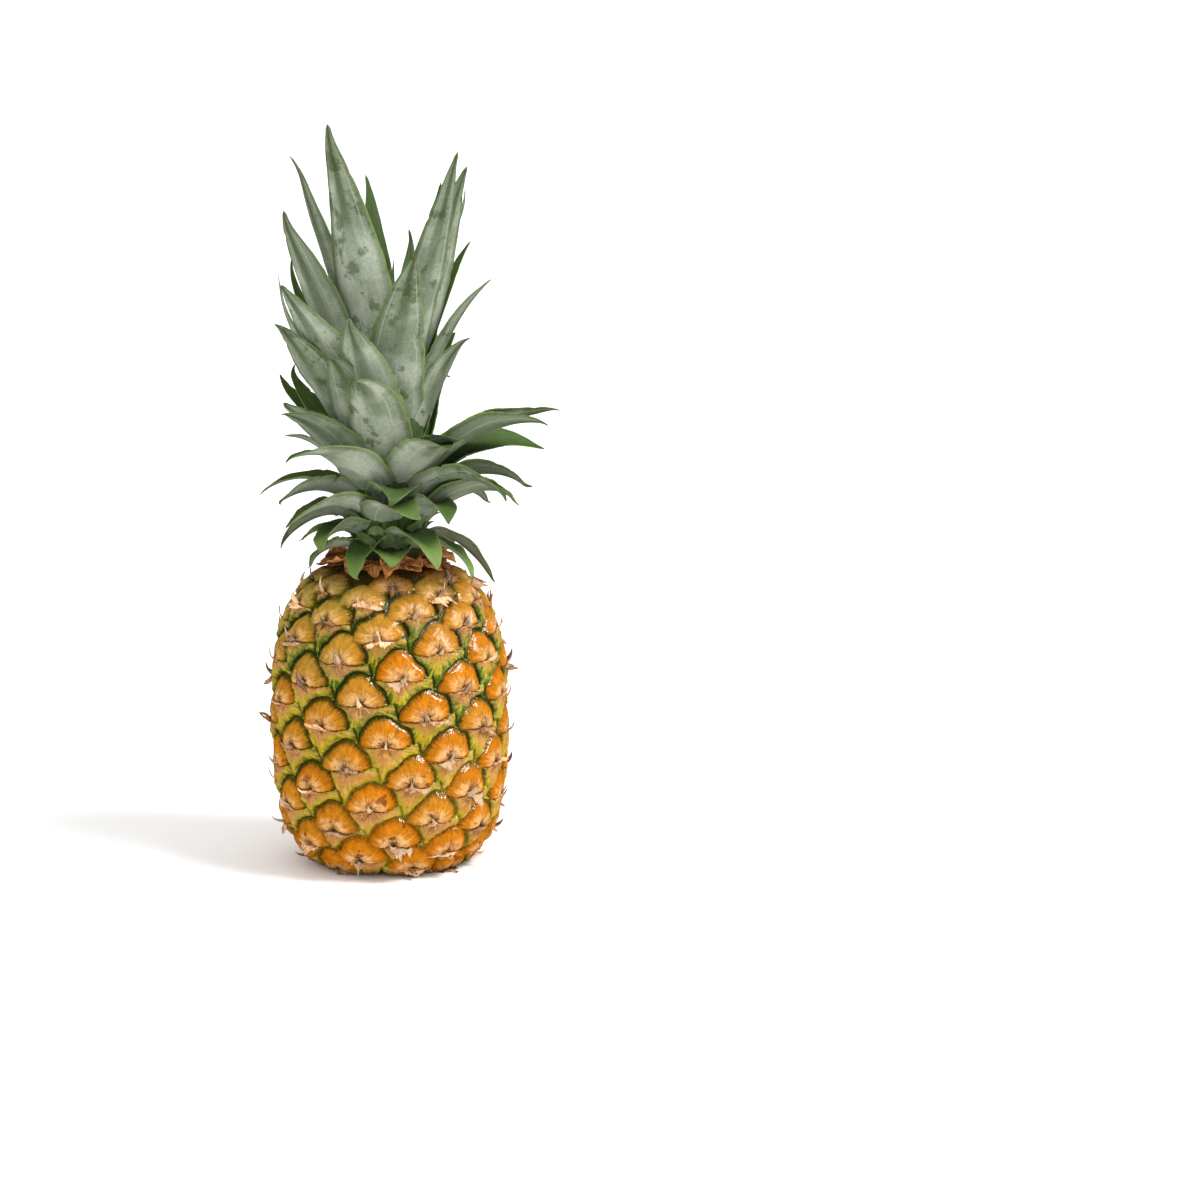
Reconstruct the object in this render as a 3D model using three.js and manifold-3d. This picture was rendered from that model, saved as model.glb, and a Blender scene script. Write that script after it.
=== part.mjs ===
// A ripe pineapple with its crown, standing on its own base.
// Millimetres, +Z up. The origin is the middle of the flat underside.
//
// Three solids: the fruit with its eyes, dry bract tips and cut stalk, the collar of dry
// scales round its neck, and the crown, a short stem with all its leaves.

import * as THREE from 'three';
import { mergeVertices } from 'three/addons/utils/BufferGeometryUtils.js';
import Module from 'manifold-3d';

const wasm = await Module();
wasm.setup();

// ---------------------------------------------------------------- driving dimensions

// The fruit's skin between its eyes, as (distance from the axis, height).
const SKIN_OUTLINE = [
  [25, 0], [31.5, 2], [39, 8.5], [45.5, 20], [49, 36], [50.2, 56], [50.2, 77],
  [48.6, 97], [44.2, 112], [37, 124], [28, 132], [21.5, 135.6],
];
const SKIN_STEPS = 16; // points along each stretch of the outline
const BASE_RADIUS = 25; // the flat that it stands on
const NECK_RADIUS = 21.5; // the flat under the crown
const FRUIT_HEIGHT = 136;

// The eyes follow one rising spiral. Neighbours touch along 8 and 13 crossing rows.
const EYE_ANGLE = 137.544; // degrees from each eye to the next
const EYE_START = 177.94; // degrees, the lowest eye
const EYE_FIRST = 8.7; // mm up the skin from the base's edge to the lowest eye
const EYE_PITCH = 1.38; // mm up the skin from eye to eye where the fruit is widest
const EYE_PITCH_RADIUS = 50;
const EYE_PITCH_POWER = 1.08; // the pitch shrinks with the girth
const EYE_COUNT = 113;
const ROW_A = 8;
const ROW_B = 13;
const TURNS_A = 3; // whole turns from an eye to its neighbour in row A
const TURNS_B = 5;
const EYE_CUTS = 5; // squares of skin from an eye to its neighbour
const SKIN_MARGIN = 4; // mm that the net of squares runs in over the base and the neck

// One eye: a plump half dome over a dry lip, and a bract that narrows downwards.
const EYE_HALF_WIDTH = 11.6;
const EYE_HEIGHT = 12.6;
const EYE_RELIEF = 3.6;
const BRACT_HALF_WIDTH = 16.5;
const BRACT_HEIGHT = 14.5;
const BRACT_RELIEF = 3.2;
const CREASE_WIDTH = 1.6;
const EYE_FADE = 7; // mm of skin over which the relief dies out at both ends

const POINT_LENGTH = 5.5; // the dry pointed tip over the lip

// The cut stalk in the underside, set off by a ring groove.
const STALK_RADIUS = 13;
const STALK_GROOVE_WIDTH = 2.5;
const STALK_GROOVE_DEPTH = 1.6;

const GAP = 0.3; // between touching solids
const ROUND_SIDES = 20; // flats round the stalk's groove and the collar

// The collar of dry scales.
const COLLAR_INNER = 15.5;
const COLLAR_OUTER = 20.5;
const COLLAR_HEIGHT = 2.8;
const SCALE_COUNT = 12;
const SCALE_ROOT = 17.5;
const SCALE_WIDTH = 11;
const SCALE_THICKNESS = 1.1;
const SCALE_STATIONS = [0, 0.55, 1]; // shares of a scale's length

// The crown's stem with the packed sheaths of its leaves, as (radius, height).
const STEM_OUTLINE = [
  [15, FRUIT_HEIGHT + GAP], [15, 139], [16, 148], [18.5, 158], [20, 170], [19, 186],
  [16.5, 200], [12.5, 214], [7.5, 228],
];
const STEM_TOP = 240;
const STEM_SIDES = 12;

// The crown's leaves, counted up their spiral from the lowest.
const LEAF_COUNT = 73;
const LEAF_SPAN = 78; // the count at which the rules below reach 1
const LEAF_ANGLE = 137.508;
const LEAF_START = 273;
const LEAF_ROOT = 139; // height of the lowest root
const LEAF_ROOT_RISE = 42; // up to the last root
const LEAF_ROOT_RADIUS = 11; // from the axis, shrinking to the heart
const LEAF_ROOT_SHRINK = 7;
const LEAF_STATIONS = [0, 0.22, 0.45, 0.66, 0.84, 1]; // shares of a leaf's length
const LEAF_THICKNESS = 1.5;
const LEAF_THIN = 0.9; // at its tip and along its edges

// How a leaf changes with its place on the spiral, from 0 at the neck to 1 at the heart.
const REACH = [[0, 44], [0.15, 50], [0.3, 58], [0.45, 60], [0.6, 54], [0.75, 47], [0.88, 36], [0.93, 24]];
const RISE = [
  [0, -2], [0.1, 6], [0.2, 22], [0.3, 42], [0.4, 63], [0.5, 88], [0.6, 115], [0.7, 138],
  [0.8, 163], [0.88, 168], [0.93, 150],
];
const WIDTH = [[0, 23], [0.12, 26], [0.3, 29], [0.45, 32], [0.7, 33], [0.85, 28], [0.92, 22]];
const ROOT_LEAN = [[0, 40], [0.08, 32], [0.2, 26], [0.35, 24], [0.5, 19], [0.7, 12], [0.92, 5]];
const TIP_LEAN = [[0, 165], [0.15, 155], [0.3, 128], [0.45, 90], [0.6, 46], [0.8, 20], [0.92, 12]];
const TIP_LEAN_LEFT = [[0.2, 0], [0.4, 38], [0.55, 15], [0.7, 0]]; // less on the left side
const ROOT_PULL = [[0, 0.6], [0.3, 0.62], [0.45, 0.45], [0.6, 0.42], [1, 0.36]];
const TIP_PULL = [[0, 0.3], [0.12, 0.24], [0.3, 0.24], [0.5, 0.26], [1, 0.3]];
const ROOT_WIDTH = [[0, 1], [0.3, 0.9], [0.6, 0.75], [1, 0.6]];

// How a blade changes along its own length.
const TAPER = [[0.25, 1], [0.45, 0.93], [0.65, 0.71], [0.82, 0.4], [0.93, 0.18], [1, 0.02]];
const CUPPING = [[0, 58], [0.3, 44], [0.7, 38], [1, 32]]; // degrees that each half curls up

// Leaves that go their own way, by number: the tip's distance from the axis, its height over
// the fruit, and the degrees that the blade swings round the axis on its way there.
const OWN_TIP = {
  0: [36, 3, 0], 2: [38, 0, 20], 3: [50, -3, -9], 5: [35, -3, 5], 6: [47, -11, -20],
  7: [41, 6, 7], 8: [49, 3, 3], 10: [40, 9, 17], 11: [63, 28, -13], 13: [48, 25, 26],
  15: [49, 8, 19], 16: [48, 23, -11], 18: [55, 20, -12], 19: [64, 33, -20], 20: [60, 27, 21],
  21: [50, 33, -8], 23: [54, 30, 12], 24: [65, 33, -11], 26: [64, 52, -22], 27: [76, 45, -6],
  28: [49, 54, -1], 29: [60, 56, -5], 31: [56, 71, 1], 32: [76, 64, -14], 33: [55, 81, 20],
  34: [59, 87, -14], 35: [40, 80, 0], 36: [49, 73, 18], 37: [55, 60, -16], 39: [50, 97, 5],
  40: [77, 69, -18], 41: [51, 85, -3], 44: [56, 110, 10], 45: [40, 102, -4],
  47: [56, 113, -3], 48: [38, 100, 0], 49: [48, 127, -5], 51: [36, 110, 0],
  52: [58, 127, -4], 53: [48, 125, 7], 54: [48, 134, 13], 55: [50, 140, 9], 56: [49, 140, -15],
  57: [52, 157, 20], 59: [26, 128, 0], 60: [48, 195, -5], 61: [41, 164, -1],
  62: [41, 166, -7], 63: [22, 110, 0], 64: [48, 144, 1], 66: [37, 176, -3],
  67: [22, 150, 0], 68: [14, 118, 0], 70: [39, 181, 9], 71: [40, 183, 6], 72: [29, 170, 11],
};
const BURIED = [42, 50, 58, 65]; // short leaves that the packed heart hides whole
const OWN_WIDTH = {
  0: 21, 2: 20, 3: 16, 5: 17, 6: 15, 7: 15, 8: 20, 20: 17, 28: 14, 33: 20, 41: 20, 45: 22,
  49: 15, 53: 24, 54: 15, 56: 18, 60: 35, 61: 20, 62: 22, 64: 16, 72: 20,
};
const OWN_TIP_LEAN = { 20: 140, 28: 100, 33: 8, 41: 12, 49: -5, 53: 50, 54: -5 };
const OWN_TWIST = { 27: 20, 55: -6, 60: 0, 61: -40, 66: -50, 71: -34 };
const TWIST = 26; // degrees that a blade at the side turns its back to the front

// ---------------------------------------------------------------- small helpers

const radians = (degrees) => degrees * Math.PI / 180;
const clamp = (value, low, high) => Math.min(Math.max(value, low), high);

/** The value at x of a line through (x, y) points, flat beyond its ends. */
function along(points, x) {
  if (x <= points[0][0]) return points[0][1];
  for (let i = 1; i < points.length; i++) {
    const [x0, y0] = points[i - 1];
    const [x1, y1] = points[i];
    if (x <= x1) return y0 + (y1 - y0) * (x - x0) / (x1 - x0);
  }
  return points[points.length - 1][1];
}

/** A number from 0 to 1 that looks random and is the same every time. */
function chance(number, kind) {
  const wave = Math.sin(number * 12.9898 + kind * 78.233) * 43758.5453;
  return wave - Math.floor(wave);
}

/** A closed geometry from corner points and triangles of corner numbers. */
function closedGeometry(points, triangles) {
  const geometry = new THREE.BufferGeometry();
  geometry.setAttribute('position', new THREE.Float32BufferAttribute(points.flat(), 3));
  geometry.setIndex(triangles.flat());
  return geometry;
}

function toSolid(geometry) {
  const bare = geometry.clone();
  bare.deleteAttribute('normal');
  bare.deleteAttribute('uv');
  const merged = mergeVertices(bare, 1e-4);
  const mesh = new wasm.Mesh({
    numProp: 3,
    vertProperties: new Float32Array(merged.attributes.position.array),
    triVerts: new Uint32Array(merged.index.array),
  });
  return new wasm.Manifold(mesh);
}

function toGeometry(solid) {
  const mesh = solid.getMesh();
  const geometry = new THREE.BufferGeometry();
  geometry.setAttribute('position', new THREE.BufferAttribute(mesh.vertProperties, 3));
  geometry.setIndex(new THREE.BufferAttribute(mesh.triVerts, 1));
  geometry.computeVertexNormals();
  return geometry;
}

/** The largest body alone: hollows sealed inside it are filled, loose scraps dropped. */
function oneBody(solid) {
  const shells = solid.decompose();
  return shells.reduce((largest, shell) => (shell.volume() > largest.volume() ? shell : largest));
}

/** All the solids joined, two by two, so that each join stays small. */
function joined(solids) {
  let row = solids;
  while (row.length > 1) {
    const next = [];
    for (let i = 0; i < row.length; i += 2) {
      next.push(i + 1 < row.length ? row[i].add(row[i + 1]) : row[i]);
    }
    row = next;
  }
  return oneBody(row[0]);
}

/** A solid turned round the axis from a closed outline of (radius, height). */
function turned(outline, sides) {
  const points = outline.map(([radius, height]) => new THREE.Vector2(radius, height));
  const geometry = new THREE.LatheGeometry(points, sides);
  return geometry.rotateX(Math.PI / 2);
}

// ---------------------------------------------------------------- the fruit's skin

/** The outline as a smooth line of points, each with its distance up the skin. */
function smoothOutline() {
  const knots = SKIN_OUTLINE;
  const last = knots.length - 1;
  const mirrored = (a, b) => [2 * a[0] - b[0], 2 * a[1] - b[1]];
  const all = [mirrored(knots[0], knots[1]), ...knots, mirrored(knots[last], knots[last - 1])];
  const line = [];
  for (let i = 1; i <= last; i++) {
    for (let step = 0; step < SKIN_STEPS; step++) {
      const t = step / SKIN_STEPS;
      line.push([0, 1].map((axis) => {
        const [a, b, c, d] = [all[i - 1][axis], all[i][axis], all[i + 1][axis], all[i + 2][axis]];
        const bend = (2 * a - 5 * b + 4 * c - d) * t * t + (3 * b - a - 3 * c + d) * t * t * t;
        return 0.5 * (2 * b + (c - a) * t + bend);
      }));
    }
  }
  line.push(knots[last]);
  let length = 0;
  return line.map((point, i) => {
    if (i > 0) length += Math.hypot(point[0] - line[i - 1][0], point[1] - line[i - 1][1]);
    return [length, point[0], point[1]];
  });
}

const OUTLINE = smoothOutline();
const SKIN_LENGTH = OUTLINE[OUTLINE.length - 1][0];
const RADIUS_UP = OUTLINE.map(([length, radius]) => [length, radius]);
const HEIGHT_UP = OUTLINE.map(([length, , height]) => [length, height]);

/** Radius and height on the bare skin. Below 0 it is the base, past the end the neck. */
function skinAt(distance) {
  if (distance < 0) return [BASE_RADIUS + distance, 0];
  if (distance > SKIN_LENGTH) return [NECK_RADIUS - (distance - SKIN_LENGTH), FRUIT_HEIGHT];
  return [along(RADIUS_UP, distance), along(HEIGHT_UP, distance)];
}

/** The outward direction in the plane of radius and height. */
function skinNormal(distance) {
  const [r0, z0] = skinAt(distance - 0.5);
  const [r1, z1] = skinAt(distance + 0.5);
  const size = Math.hypot(r1 - r0, z1 - z0);
  return [(z1 - z0) / size, (r0 - r1) / size];
}

/** How far up the skin each eye sits, carried on past both ends of the skin. */
function eyeSpacing() {
  const places = [];
  const pitchAt = (distance) => {
    const radius = Math.max(skinAt(distance)[0], BASE_RADIUS / 2);
    return EYE_PITCH * (radius / EYE_PITCH_RADIUS) ** EYE_PITCH_POWER;
  };
  let distance = EYE_FIRST;
  for (let eye = 0; distance < SKIN_LENGTH + 2 * SKIN_MARGIN; eye++) {
    places.push([eye, distance]);
    distance += pitchAt(distance);
  }
  distance = EYE_FIRST;
  for (let eye = -1; distance > -2 * SKIN_MARGIN; eye--) {
    distance -= pitchAt(distance);
    places.unshift([eye, distance]);
  }
  return places;
}

const EYE_PLACES = eyeSpacing();

/** The angle and the distance up the skin of a point on the spiral's net. */
function netPoint(stepsA, stepsB) {
  const place = ROW_A * stepsA + ROW_B * stepsB;
  const turns = TURNS_A * stepsA + TURNS_B * stepsB;
  const angle = radians(EYE_START + EYE_ANGLE * place - 360 * turns);
  return [angle, along(EYE_PLACES, place)];
}

/** Height of one eye's dome and of its bract at (across, up) from the lip's middle. */
function eyeShape(across, up) {
  const lift = up >= 0 ? up / EYE_HEIGHT : -up / 3;
  const rim = Math.hypot(across / EYE_HALF_WIDTH, lift);
  const dome = rim < 1 ? EYE_RELIEF * (1 - rim ** 2.6) ** 0.6 : 0;
  const left = 1 - (Math.abs(across) / BRACT_HALF_WIDTH) ** 1.3 - (Math.max(-up, 0) / BRACT_HEIGHT) ** 1.2;
  const bract = up < 1 && left > 0 ? BRACT_RELIEF * left ** 0.45 : 0;
  return { rim: up >= -1 ? rim : 9, dome, bract };
}

/** How far the skin stands out at a net point, from all the eyes near it. */
function relief(stepsA, stepsB, distance) {
  const radius = skinAt(clamp(distance, 0, SKIN_LENGTH))[0];
  const [angle] = netPoint(stepsA, stepsB);
  let dome = 0;
  let bract = 0;
  let rim = 9;
  for (let a = Math.floor(stepsA) - 2; a <= Math.floor(stepsA) + 3; a++) {
    for (let b = Math.floor(stepsB) - 2; b <= Math.floor(stepsB) + 3; b++) {
      const eye = ROW_A * a + ROW_B * b;
      if (eye < 0 || eye >= EYE_COUNT) continue;
      const [eyeAngle, eyeDistance] = netPoint(a, b);
      const shape = eyeShape((angle - eyeAngle) * radius, distance - eyeDistance);
      dome = Math.max(dome, shape.dome);
      bract = Math.max(bract, shape.bract);
      rim = Math.min(rim, shape.rim);
    }
  }
  const crease = clamp((rim - 1) * EYE_HALF_WIDTH / CREASE_WIDTH, 0, 1);
  const height = rim < 1 ? Math.max(dome, rim > 0.75 ? 0 : bract) : bract * crease;
  const fade = clamp(Math.min(distance, SKIN_LENGTH - distance) / EYE_FADE, 0, 1);
  return height * fade;
}

/** A point at an angle, a distance up the skin and a height over it. */
function overSkin(angle, distance, height) {
  const [radius, z] = skinAt(distance);
  const [outward, upward] = skinNormal(distance);
  const r = radius + outward * height;
  return [r * Math.cos(angle), r * Math.sin(angle), Math.max(z + upward * height, 0)];
}

/** The end of a dry point that starts at a height over the skin. */
function pointTip(angle, distance, height, [outward, upward, sideways]) {
  const start = new THREE.Vector3(...overSkin(angle, distance, height));
  const further = new THREE.Vector3(...overSkin(angle, distance, height + outward));
  const higher = new THREE.Vector3(...overSkin(angle, distance + 1, height)).sub(start).normalize();
  const side = new THREE.Vector3(-Math.sin(angle), Math.cos(angle), 0);
  return further.addScaledVector(higher, upward).addScaledVector(side, sideways).toArray();
}

/** A corner of the skin's squares, drawn out to a dry point over the middle of a lip. */
function skinPoint(i, j) {
  const [stepsA, stepsB] = [i / EYE_CUTS, j / EYE_CUTS];
  const [angle, distance] = netPoint(stepsA, stepsB);
  if (distance < 0 || distance > SKIN_LENGTH) return overSkin(angle, distance, 0);
  const height = relief(stepsA, stepsB, distance);
  const isLip = i % EYE_CUTS === 0 && j % EYE_CUTS === 0;
  const point = isLip ? dryPoint(ROW_A * stepsA + ROW_B * stepsB, distance) : null;
  return point ? pointTip(angle, distance, height, point) : overSkin(angle, distance, height);
}

/** The closed skin: squares along both rows of the spiral, and a fan over each end. */
function skinGeometry() {
  const points = [];
  const triangles = [];
  const numbers = new Map();
  const round = ROW_B * EYE_CUTS;

  const corner = (i, j) => {
    const [a, b] = i < round ? [i, j] : [i - round, j + ROW_A * EYE_CUTS];
    const key = `${a},${b}`;
    if (!numbers.has(key)) {
      numbers.set(key, points.length);
      points.push(skinPoint(a, b));
    }
    return numbers.get(key);
  };

  const distances = EYE_PLACES.map(([place, distance]) => [distance, place]);
  const first = along(distances, -SKIN_MARGIN) * EYE_CUTS;
  const last = along(distances, SKIN_LENGTH + SKIN_MARGIN / 4) * EYE_CUTS;
  for (let i = 0; i < round; i++) {
    const lowest = Math.ceil((first - ROW_A * i) / ROW_B);
    for (let j = lowest; ROW_A * i + ROW_B * j < last; j++) {
      const [south, east] = [corner(i, j), corner(i + 1, j)];
      const [west, north] = [corner(i, j + 1), corner(i + 1, j + 1)];
      triangles.push([south, east, west], [east, north, west]);
    }
  }
  closeEnds(points, triangles);
  return closedGeometry(points, triangles);
}

/** Fans from the open rims to the middle of the base and of the neck. */
function closeEnds(points, triangles) {
  const open = new Map();
  for (const [a, b, c] of triangles) {
    for (const [from, to] of [[a, b], [b, c], [c, a]]) {
      if (!open.delete(`${to},${from}`)) open.set(`${from},${to}`, [from, to]);
    }
  }
  const base = points.push([0, 0, 0]) - 1;
  const neck = points.push([0, 0, FRUIT_HEIGHT]) - 1;
  for (const [from, to] of open.values()) {
    triangles.push([to, from, points[from][2] < FRUIT_HEIGHT / 2 ? base : neck]);
  }
}

// ---------------------------------------------------------------- points, stalk, fruit

/** How far an eye's dry point stands out, leans up and leans sideways, or nothing. */
function dryPoint(eye, distance) {
  if (distance < EYE_FADE || distance > SKIN_LENGTH - EYE_FADE) return null;
  const length = POINT_LENGTH * (0.6 + 0.7 * chance(eye, 2));
  const lift = radians(22 + 50 * chance(eye, 1) ** 3);
  const lean = radians(70 * (chance(eye, 3) - 0.5));
  return [
    length * Math.sin(lift),
    length * Math.cos(lift) * Math.cos(lean),
    length * Math.cos(lift) * Math.sin(lean),
  ];
}

function stalkGroove() {
  const outer = STALK_RADIUS + STALK_GROOVE_WIDTH;
  return turned([
    [STALK_RADIUS, -1], [outer, -1], [outer, 0], [outer - 0.6, STALK_GROOVE_DEPTH],
    [STALK_RADIUS + 0.4, STALK_GROOVE_DEPTH], [STALK_RADIUS, 0], [STALK_RADIUS, -1],
  ], ROUND_SIDES);
}

function fruitGeometry() {
  return toGeometry(toSolid(skinGeometry()).subtract(toSolid(stalkGroove())));
}

// ---------------------------------------------------------------- blades

/** A point and a direction at t on a curve with four control points, in one plane. */
function curveAt(controls, t) {
  const weights = [(1 - t) ** 3, 3 * (1 - t) ** 2 * t, 3 * (1 - t) * t * t, t ** 3];
  return [0, 1].map((axis) => controls.reduce((sum, point, i) => sum + weights[i] * point[axis], 0));
}

/** Control points from a root to a tip, leaving and arriving at leans from upright. */
function arch(root, tip, rootLean, tipLean, rootPull, tipPull) {
  const chord = Math.hypot(tip[0] - root[0], tip[1] - root[1]);
  const [a, b] = [radians(rootLean), radians(tipLean)];
  return [
    root,
    [root[0] + Math.sin(a) * chord * rootPull, root[1] + Math.cos(a) * chord * rootPull],
    [tip[0] - Math.sin(b) * chord * tipPull, tip[1] - Math.cos(b) * chord * tipPull],
    tip,
  ];
}

/** The midrib's points, each with its directions along, across and through the blade. */
function midrib(shape, shares) {
  const place = (t) => {
    const [r, z] = curveAt(shape.controls, t);
    const angle = radians(shape.angle + shape.sweep * t);
    return new THREE.Vector3(r * Math.cos(angle), r * Math.sin(angle), z);
  };
  return shares.map((t) => {
    const angle = radians(shape.angle + shape.sweep * t);
    const along3 = place(Math.min(t + 0.01, 1)).sub(place(Math.max(t - 0.01, 0))).normalize();
    const flat = new THREE.Vector3(-Math.sin(angle), Math.cos(angle), 0);
    const across0 = flat.addScaledVector(along3, -flat.dot(along3)).normalize();
    const inward0 = new THREE.Vector3().crossVectors(along3, across0);
    const turn = radians(shape.twist) * Math.min(1, t * 1.6);
    const across = across0.clone().multiplyScalar(Math.cos(turn)).addScaledVector(inward0, Math.sin(turn));
    const inward = inward0.clone().multiplyScalar(Math.cos(turn)).addScaledVector(across0, -Math.sin(turn));
    return { t, centre: place(t), across, inward };
  });
}

/** A cupped blade: three points across on each face, split alike on both. */
function bladeGeometry(shape, shares) {
  const cuts = shares.length - 1;
  const points = [];
  for (const { t, centre, across, inward } of midrib(shape, shares)) {
    const half = Math.max(shape.width / 2 * along(shape.taper, t), LEAF_THIN / 2);
    const curl = radians(along(shape.cupping, t));
    const bend = half / curl;
    const thick = shape.thickness + (shape.thin - shape.thickness) * t;
    for (const side of [-1, 0, 1]) {
      const outer = centre.clone()
        .addScaledVector(across, bend * Math.sin(side * curl))
        .addScaledVector(inward, bend * (1 - Math.cos(side * curl)));
      points.push(outer.toArray());
      points.push(outer.addScaledVector(inward, side === 0 ? thick : shape.thin).toArray());
    }
  }
  const triangles = [];
  const quad = (a, b, c, d) => triangles.push([a, b, c], [a, c, d]);
  for (let i = 0; i < cuts; i++) {
    const here = 6 * i;
    const next = here + 6;
    for (const column of [0, 2]) {
      quad(here + column, here + column + 2, next + column + 2, next + column);
      triangles.push([here + column + 1, next + column + 3, here + column + 3]);
      triangles.push([here + column + 1, next + column + 1, next + column + 3]);
    }
    quad(here + 1, here, next, next + 1);
    quad(here + 4, here + 5, next + 5, next + 4);
  }
  const end = 6 * cuts;
  quad(0, 1, 3, 2);
  quad(2, 3, 5, 4);
  quad(end + 1, end, end + 2, end + 3);
  quad(end + 3, end + 2, end + 4, end + 5);
  return closedGeometry(points, triangles);
}

// ---------------------------------------------------------------- collar

function collarScale(number) {
  const reach = 28 + 4 * chance(number, 5);
  const height = FRUIT_HEIGHT + 1.2 + 2 * chance(number, 6);
  const root = [SCALE_ROOT, FRUIT_HEIGHT + GAP + COLLAR_HEIGHT * 0.55];
  return {
    angle: number * 360 / SCALE_COUNT + 12 * (chance(number, 7) - 0.5),
    sweep: 16 * (chance(number, 8) - 0.5),
    controls: arch(root, [reach, height], 88, 75 + 20 * chance(number, 9), 0.35, 0.35),
    twist: 16 * (chance(number, 10) - 0.5),
    width: SCALE_WIDTH,
    thickness: SCALE_THICKNESS,
    thin: LEAF_THIN,
    taper: [[0, 0.8], [0.3, 1], [0.6, 0.75], [0.85, 0.35], [1, 0.05]],
    cupping: [[0, 18], [1, 28]],
  };
}

function collarGeometry() {
  const low = FRUIT_HEIGHT + GAP;
  const top = low + COLLAR_HEIGHT;
  const ring = turned([
    [COLLAR_INNER, low], [COLLAR_OUTER, low], [COLLAR_OUTER, top - 1],
    [COLLAR_OUTER - 1, top], [COLLAR_INNER, top], [COLLAR_INNER, low],
  ], ROUND_SIDES);
  const scales = [];
  for (let number = 0; number < SCALE_COUNT; number++) {
    scales.push(toSolid(bladeGeometry(collarScale(number), SCALE_STATIONS)));
  }
  return toGeometry(joined([toSolid(ring), ...scales]));
}

// ---------------------------------------------------------------- crown

function leafShape(number) {
  const place = number / LEAF_SPAN;
  const angle = LEAF_START + LEAF_ANGLE * number;
  const right = Math.cos(radians(angle));
  const front = -Math.sin(radians(angle));
  const low = place < 0.33;
  const middle = place > 0.12 && place < 0.5;
  const ruleReach = along(REACH, place) + (middle ? 8 * right : 0) - (low ? 8 * Math.max(0, front) : 0);
  const [reach, rise, sweep] = OWN_TIP[number] ?? [ruleReach, along(RISE, place), 0];
  const root = [LEAF_ROOT_RADIUS - LEAF_ROOT_SHRINK * place, LEAF_ROOT + LEAF_ROOT_RISE * place];
  const ruleTipLean = along(TIP_LEAN, place) - Math.max(0, -right) * along(TIP_LEAN_LEFT, place);
  const ruleTwist = -TWIST * right * (front > -0.4 ? 1 : -0.3);
  return {
    angle,
    sweep,
    controls: arch(
      root,
      [reach, FRUIT_HEIGHT + 1 + rise],
      along(ROOT_LEAN, place),
      OWN_TIP_LEAN[number] ?? ruleTipLean,
      along(ROOT_PULL, place),
      along(TIP_PULL, place),
    ),
    twist: OWN_TWIST[number] ?? ruleTwist,
    width: OWN_WIDTH[number] ?? along(WIDTH, place),
    thickness: LEAF_THICKNESS,
    thin: LEAF_THIN,
    taper: [[0, along(ROOT_WIDTH, place)], ...TAPER],
    cupping: CUPPING,
  };
}

function crownGeometry() {
  const stem = turned([[0, STEM_OUTLINE[0][1]], ...STEM_OUTLINE, [0, STEM_TOP]], STEM_SIDES);
  const leaves = [];
  for (let number = 0; number < LEAF_COUNT; number++) {
    if (BURIED.includes(number)) continue;
    leaves.push(toSolid(bladeGeometry(leafShape(number), LEAF_STATIONS)));
  }
  return toGeometry(joined([toSolid(stem), ...leaves]));
}

// ---------------------------------------------------------------- the pineapple

function material(color, roughness) {
  return new THREE.MeshStandardMaterial({ color, roughness, metalness: 0 });
}

function namedMesh(name, geometry, finish) {
  const mesh = new THREE.Mesh(geometry, finish);
  mesh.name = name;
  return mesh;
}

const pineapple = new THREE.Group();
pineapple.name = 'pineapple';
pineapple.add(
  namedMesh('fruit', fruitGeometry(), material(0xd98a26, 0.5)),
  namedMesh('dry_collar', collarGeometry(), material(0x9a6a45, 0.85)),
  namedMesh('crown', crownGeometry(), material(0x7d9468, 0.6)),
);

export default pineapple;
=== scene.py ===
"""A ripe pineapple with its crown: the finished look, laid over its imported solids.

Lengths in the code are millimetres, as in the solids, and become metres when a mesh is made.
"""

import math

import bpy
import numpy as np
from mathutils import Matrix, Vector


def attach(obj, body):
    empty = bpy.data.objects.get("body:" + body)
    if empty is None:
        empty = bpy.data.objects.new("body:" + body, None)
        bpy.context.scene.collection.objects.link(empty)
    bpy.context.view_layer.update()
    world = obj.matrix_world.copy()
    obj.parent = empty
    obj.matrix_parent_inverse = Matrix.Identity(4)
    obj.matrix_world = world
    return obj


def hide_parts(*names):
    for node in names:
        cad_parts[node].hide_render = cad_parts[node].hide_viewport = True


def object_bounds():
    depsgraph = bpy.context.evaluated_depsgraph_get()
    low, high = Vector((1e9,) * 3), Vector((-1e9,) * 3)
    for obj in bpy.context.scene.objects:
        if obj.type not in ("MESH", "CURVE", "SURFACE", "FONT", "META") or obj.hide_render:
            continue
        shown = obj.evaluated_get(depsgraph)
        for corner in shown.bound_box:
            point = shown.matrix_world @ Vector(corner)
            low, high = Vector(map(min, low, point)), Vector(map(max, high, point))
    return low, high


bl_info = {
    "name": "Pineapple",
    "version": (1, 0, 0),
    "blender": (4, 5, 0),
    "location": "3D View > Sidebar > Pineapple",
    "description": "Grows the rind, dry collar and leafy crown of a standing pineapple",
    "category": "Add Mesh",
}

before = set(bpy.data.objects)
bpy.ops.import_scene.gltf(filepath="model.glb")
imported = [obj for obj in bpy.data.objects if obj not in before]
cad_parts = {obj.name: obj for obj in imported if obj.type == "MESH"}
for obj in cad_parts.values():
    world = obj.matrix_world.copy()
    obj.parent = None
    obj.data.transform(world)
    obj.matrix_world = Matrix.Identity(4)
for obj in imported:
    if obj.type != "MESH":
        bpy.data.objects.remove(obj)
SOLID_BOX = [list(corner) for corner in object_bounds()]
MM = 0.001
INSET = 0.0001  # metres that every piece stays inside the solids' box

# ---------------------------------------------------------------- shape of the fruit

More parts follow.
